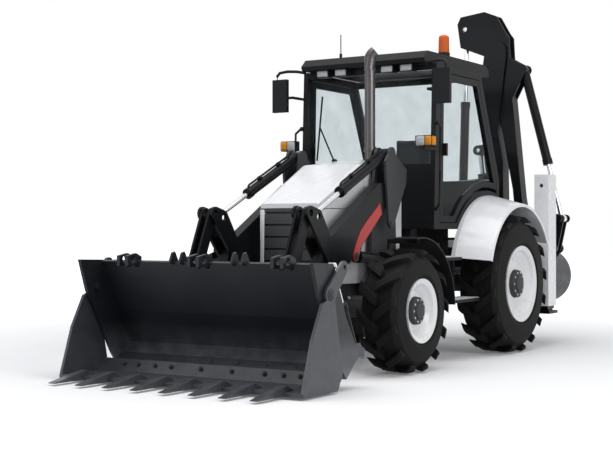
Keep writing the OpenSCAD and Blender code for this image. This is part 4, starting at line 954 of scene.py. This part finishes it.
# %% Tilt pipes
TILT_BASE = Vector((1.710, 1.950))
TILT_ALONG = Vector((0.9094, -0.4159))
TILT_OUT = Vector((0.4159, 0.9094))
TILT_Y = 0.49
PIPE_ROUTE = ((0.13, 0.040), (0.135, 0.058), (0.16, 0.066), (0.84, 0.066), (0.865, 0.058), (0.87, 0.040))
CLIPS, CLIP_OUT, CLIP_HALF = (0.32, 0.66), 0.054, 0.014


def by_barrel(s, along, out):
    """A point along and out from the axis of the tilt barrel on side s."""
    q = TILT_BASE + TILT_ALONG * along + TILT_OUT * out
    return from_axle(q.x, s * TILT_Y, q.y)


for s, side in SIDES:
    bm = bmesh.new()
    add_path(bm, [by_barrel(s, *ao) for ao in PIPE_ROUTE], 0.010)
    for along in CLIPS:
        add_tube(bm, by_barrel(s, along - CLIP_HALF, CLIP_OUT), by_barrel(s, along + CLIP_HALF, CLIP_OUT),
                 0.024, sides=20)
    piece("tilt_pipe_" + side, bm, "tilt_barrels", SATIN)

# %% [markdown]
# ## Step plates
#
# Alloy plates with raised studs cover the steps. A bump could show the studs, but it would leave
# the plate's edge flat, so they are real, and the tree of heads sets them in rows.

# %% Step plates and studs
TREADS = ((0.722, 1.338, 0.770, 0.998, 0.590), (1.052, 1.478, 0.745, 0.958, 0.990))
STUD_ROWS, STUD_GAP = 6, 0.04
STUD_R, STUD_HIGH, STUD_SHAPE = 0.010, 0.006, (1.3, 0.7, 1.0)
for s, side in SIDES:
    bm = bmesh.new()
    studs = []
    for x0, x1, y0, y1, z in TREADS:
        lo_y, hi_y = sorted((s * y0, s * y1))
        add_box(bm, from_axle(x0, lo_y, z - 0.001), from_axle(x1, hi_y, z + 0.004))
        cols = int((x1 - x0) / STUD_GAP)
        xs = [x0 + (x1 - x0) * (i + 0.5) / cols for i in range(cols)]
        ys = [s * (y0 + (y1 - y0) * (j + 0.5) / STUD_ROWS) for j in range(STUD_ROWS)]
        studs += [from_axle(x, y, z + 0.006) for x in xs for y in ys]
    piece("step_plates_" + side, bm, "chassis", TREAD, bevel=0.0015, segments=1)
    heads_at("step_studs_" + side, studs, (0, 0, 1), STUD_R, STUD_HIGH, "chassis", TREAD, sides=8,
             size=STUD_SHAPE)

# %% [markdown]
# ## Mirror arms
#
# Each mirror hangs on two arms. The lower one is straight and is in the solids. The upper one
# curves out from the roof, so a bar is swept along six points. A box could not show that bend.

# %% Mirror arms
MIRROR_ARM = ((1.25, 0.67, 2.825), (1.28, 0.76, 2.842), (1.315, 0.85, 2.845), (1.345, 0.92, 2.832),
              (1.358, 0.945, 2.80), (1.358, 0.945, 2.745))
for s, side in SIDES:
    bm = bmesh.new()
    add_path(bm, [from_axle(x, s * y, z) for x, y, z in MIRROR_ARM], 0.015)
    piece("mirror_arm_" + side, bm, "chassis", SATIN)

# %% [markdown]
# ## Grille edges and clam pins
#
# White edges frame the grille on both sides, and a cap with a bolt closes each clam pin. The edges
# taper, so they are drawn as an outline, given depth and rounded, where a box would be straight.

# %% Edges and caps
GRILLE_EDGE = [(0.262, 1.428), (0.308, 1.428), (0.308, 0.80), (0.272, 0.80)]
EDGE_BACK_X, EDGE_FRONT_X = 2.47, 2.594
CLAM_PIN_X, CLAM_PIN_Z = 3.843, 0.758
for s, side in SIDES:
    bm = bmesh.new()
    add_prism(bm, [from_axle(EDGE_BACK_X, s * y, z) for y, z in GRILLE_EDGE],
              [from_axle(EDGE_FRONT_X, s * y, z) for y, z in GRILLE_EDGE])
    piece("grille_edge_" + side, bm, "chassis", WHITE, bevel=0.006, segments=3)

    cap_in, cap_out, bolt_in, bolt_out = (
        from_axle(CLAM_PIN_X, s * y, CLAM_PIN_Z) for y in (1.198, 1.206, 1.205, 1.212))
    bm = bmesh.new()
    add_tube(bm, cap_in, cap_out, 0.048, 0.045, 40)
    add_tube(bm, bolt_in, bolt_out, 0.020, sides=6)
    piece("clam_pin_cap_" + side, bm, "bucket_clam", CAST, bevel=0.0015)

# %% [markdown]
# ## Stack tip
#
# The exhaust stack ends in a bent, open tip that leans outwards. A swept bar would look closed, so
# the tip is an outer and an inner sleeve, joined at the ends.

# %% Stack tip
TIP = ((1.71, 0.33, 2.74), (1.71, 0.33, 2.845), (1.708, 0.334, 2.865), (1.70, 0.346, 2.888),
       (1.685, 0.37, 2.912))
TIP_R, TIP_WALL = 0.054, 0.004


def add_pipe(bm, points, r, wall, sides=32):
    """An open pipe along a polyline."""
    outer, inner = (sweep(bm, points, radius, sides) for radius in (r, r - wall))
    for end in (0, -1):
        bridge(bm, outer[end], inner[end])


bm = bmesh.new()
add_pipe(bm, [from_axle(*p) for p in TIP], TIP_R, TIP_WALL)
piece("exhaust_tip", bm, "chassis", STACK)
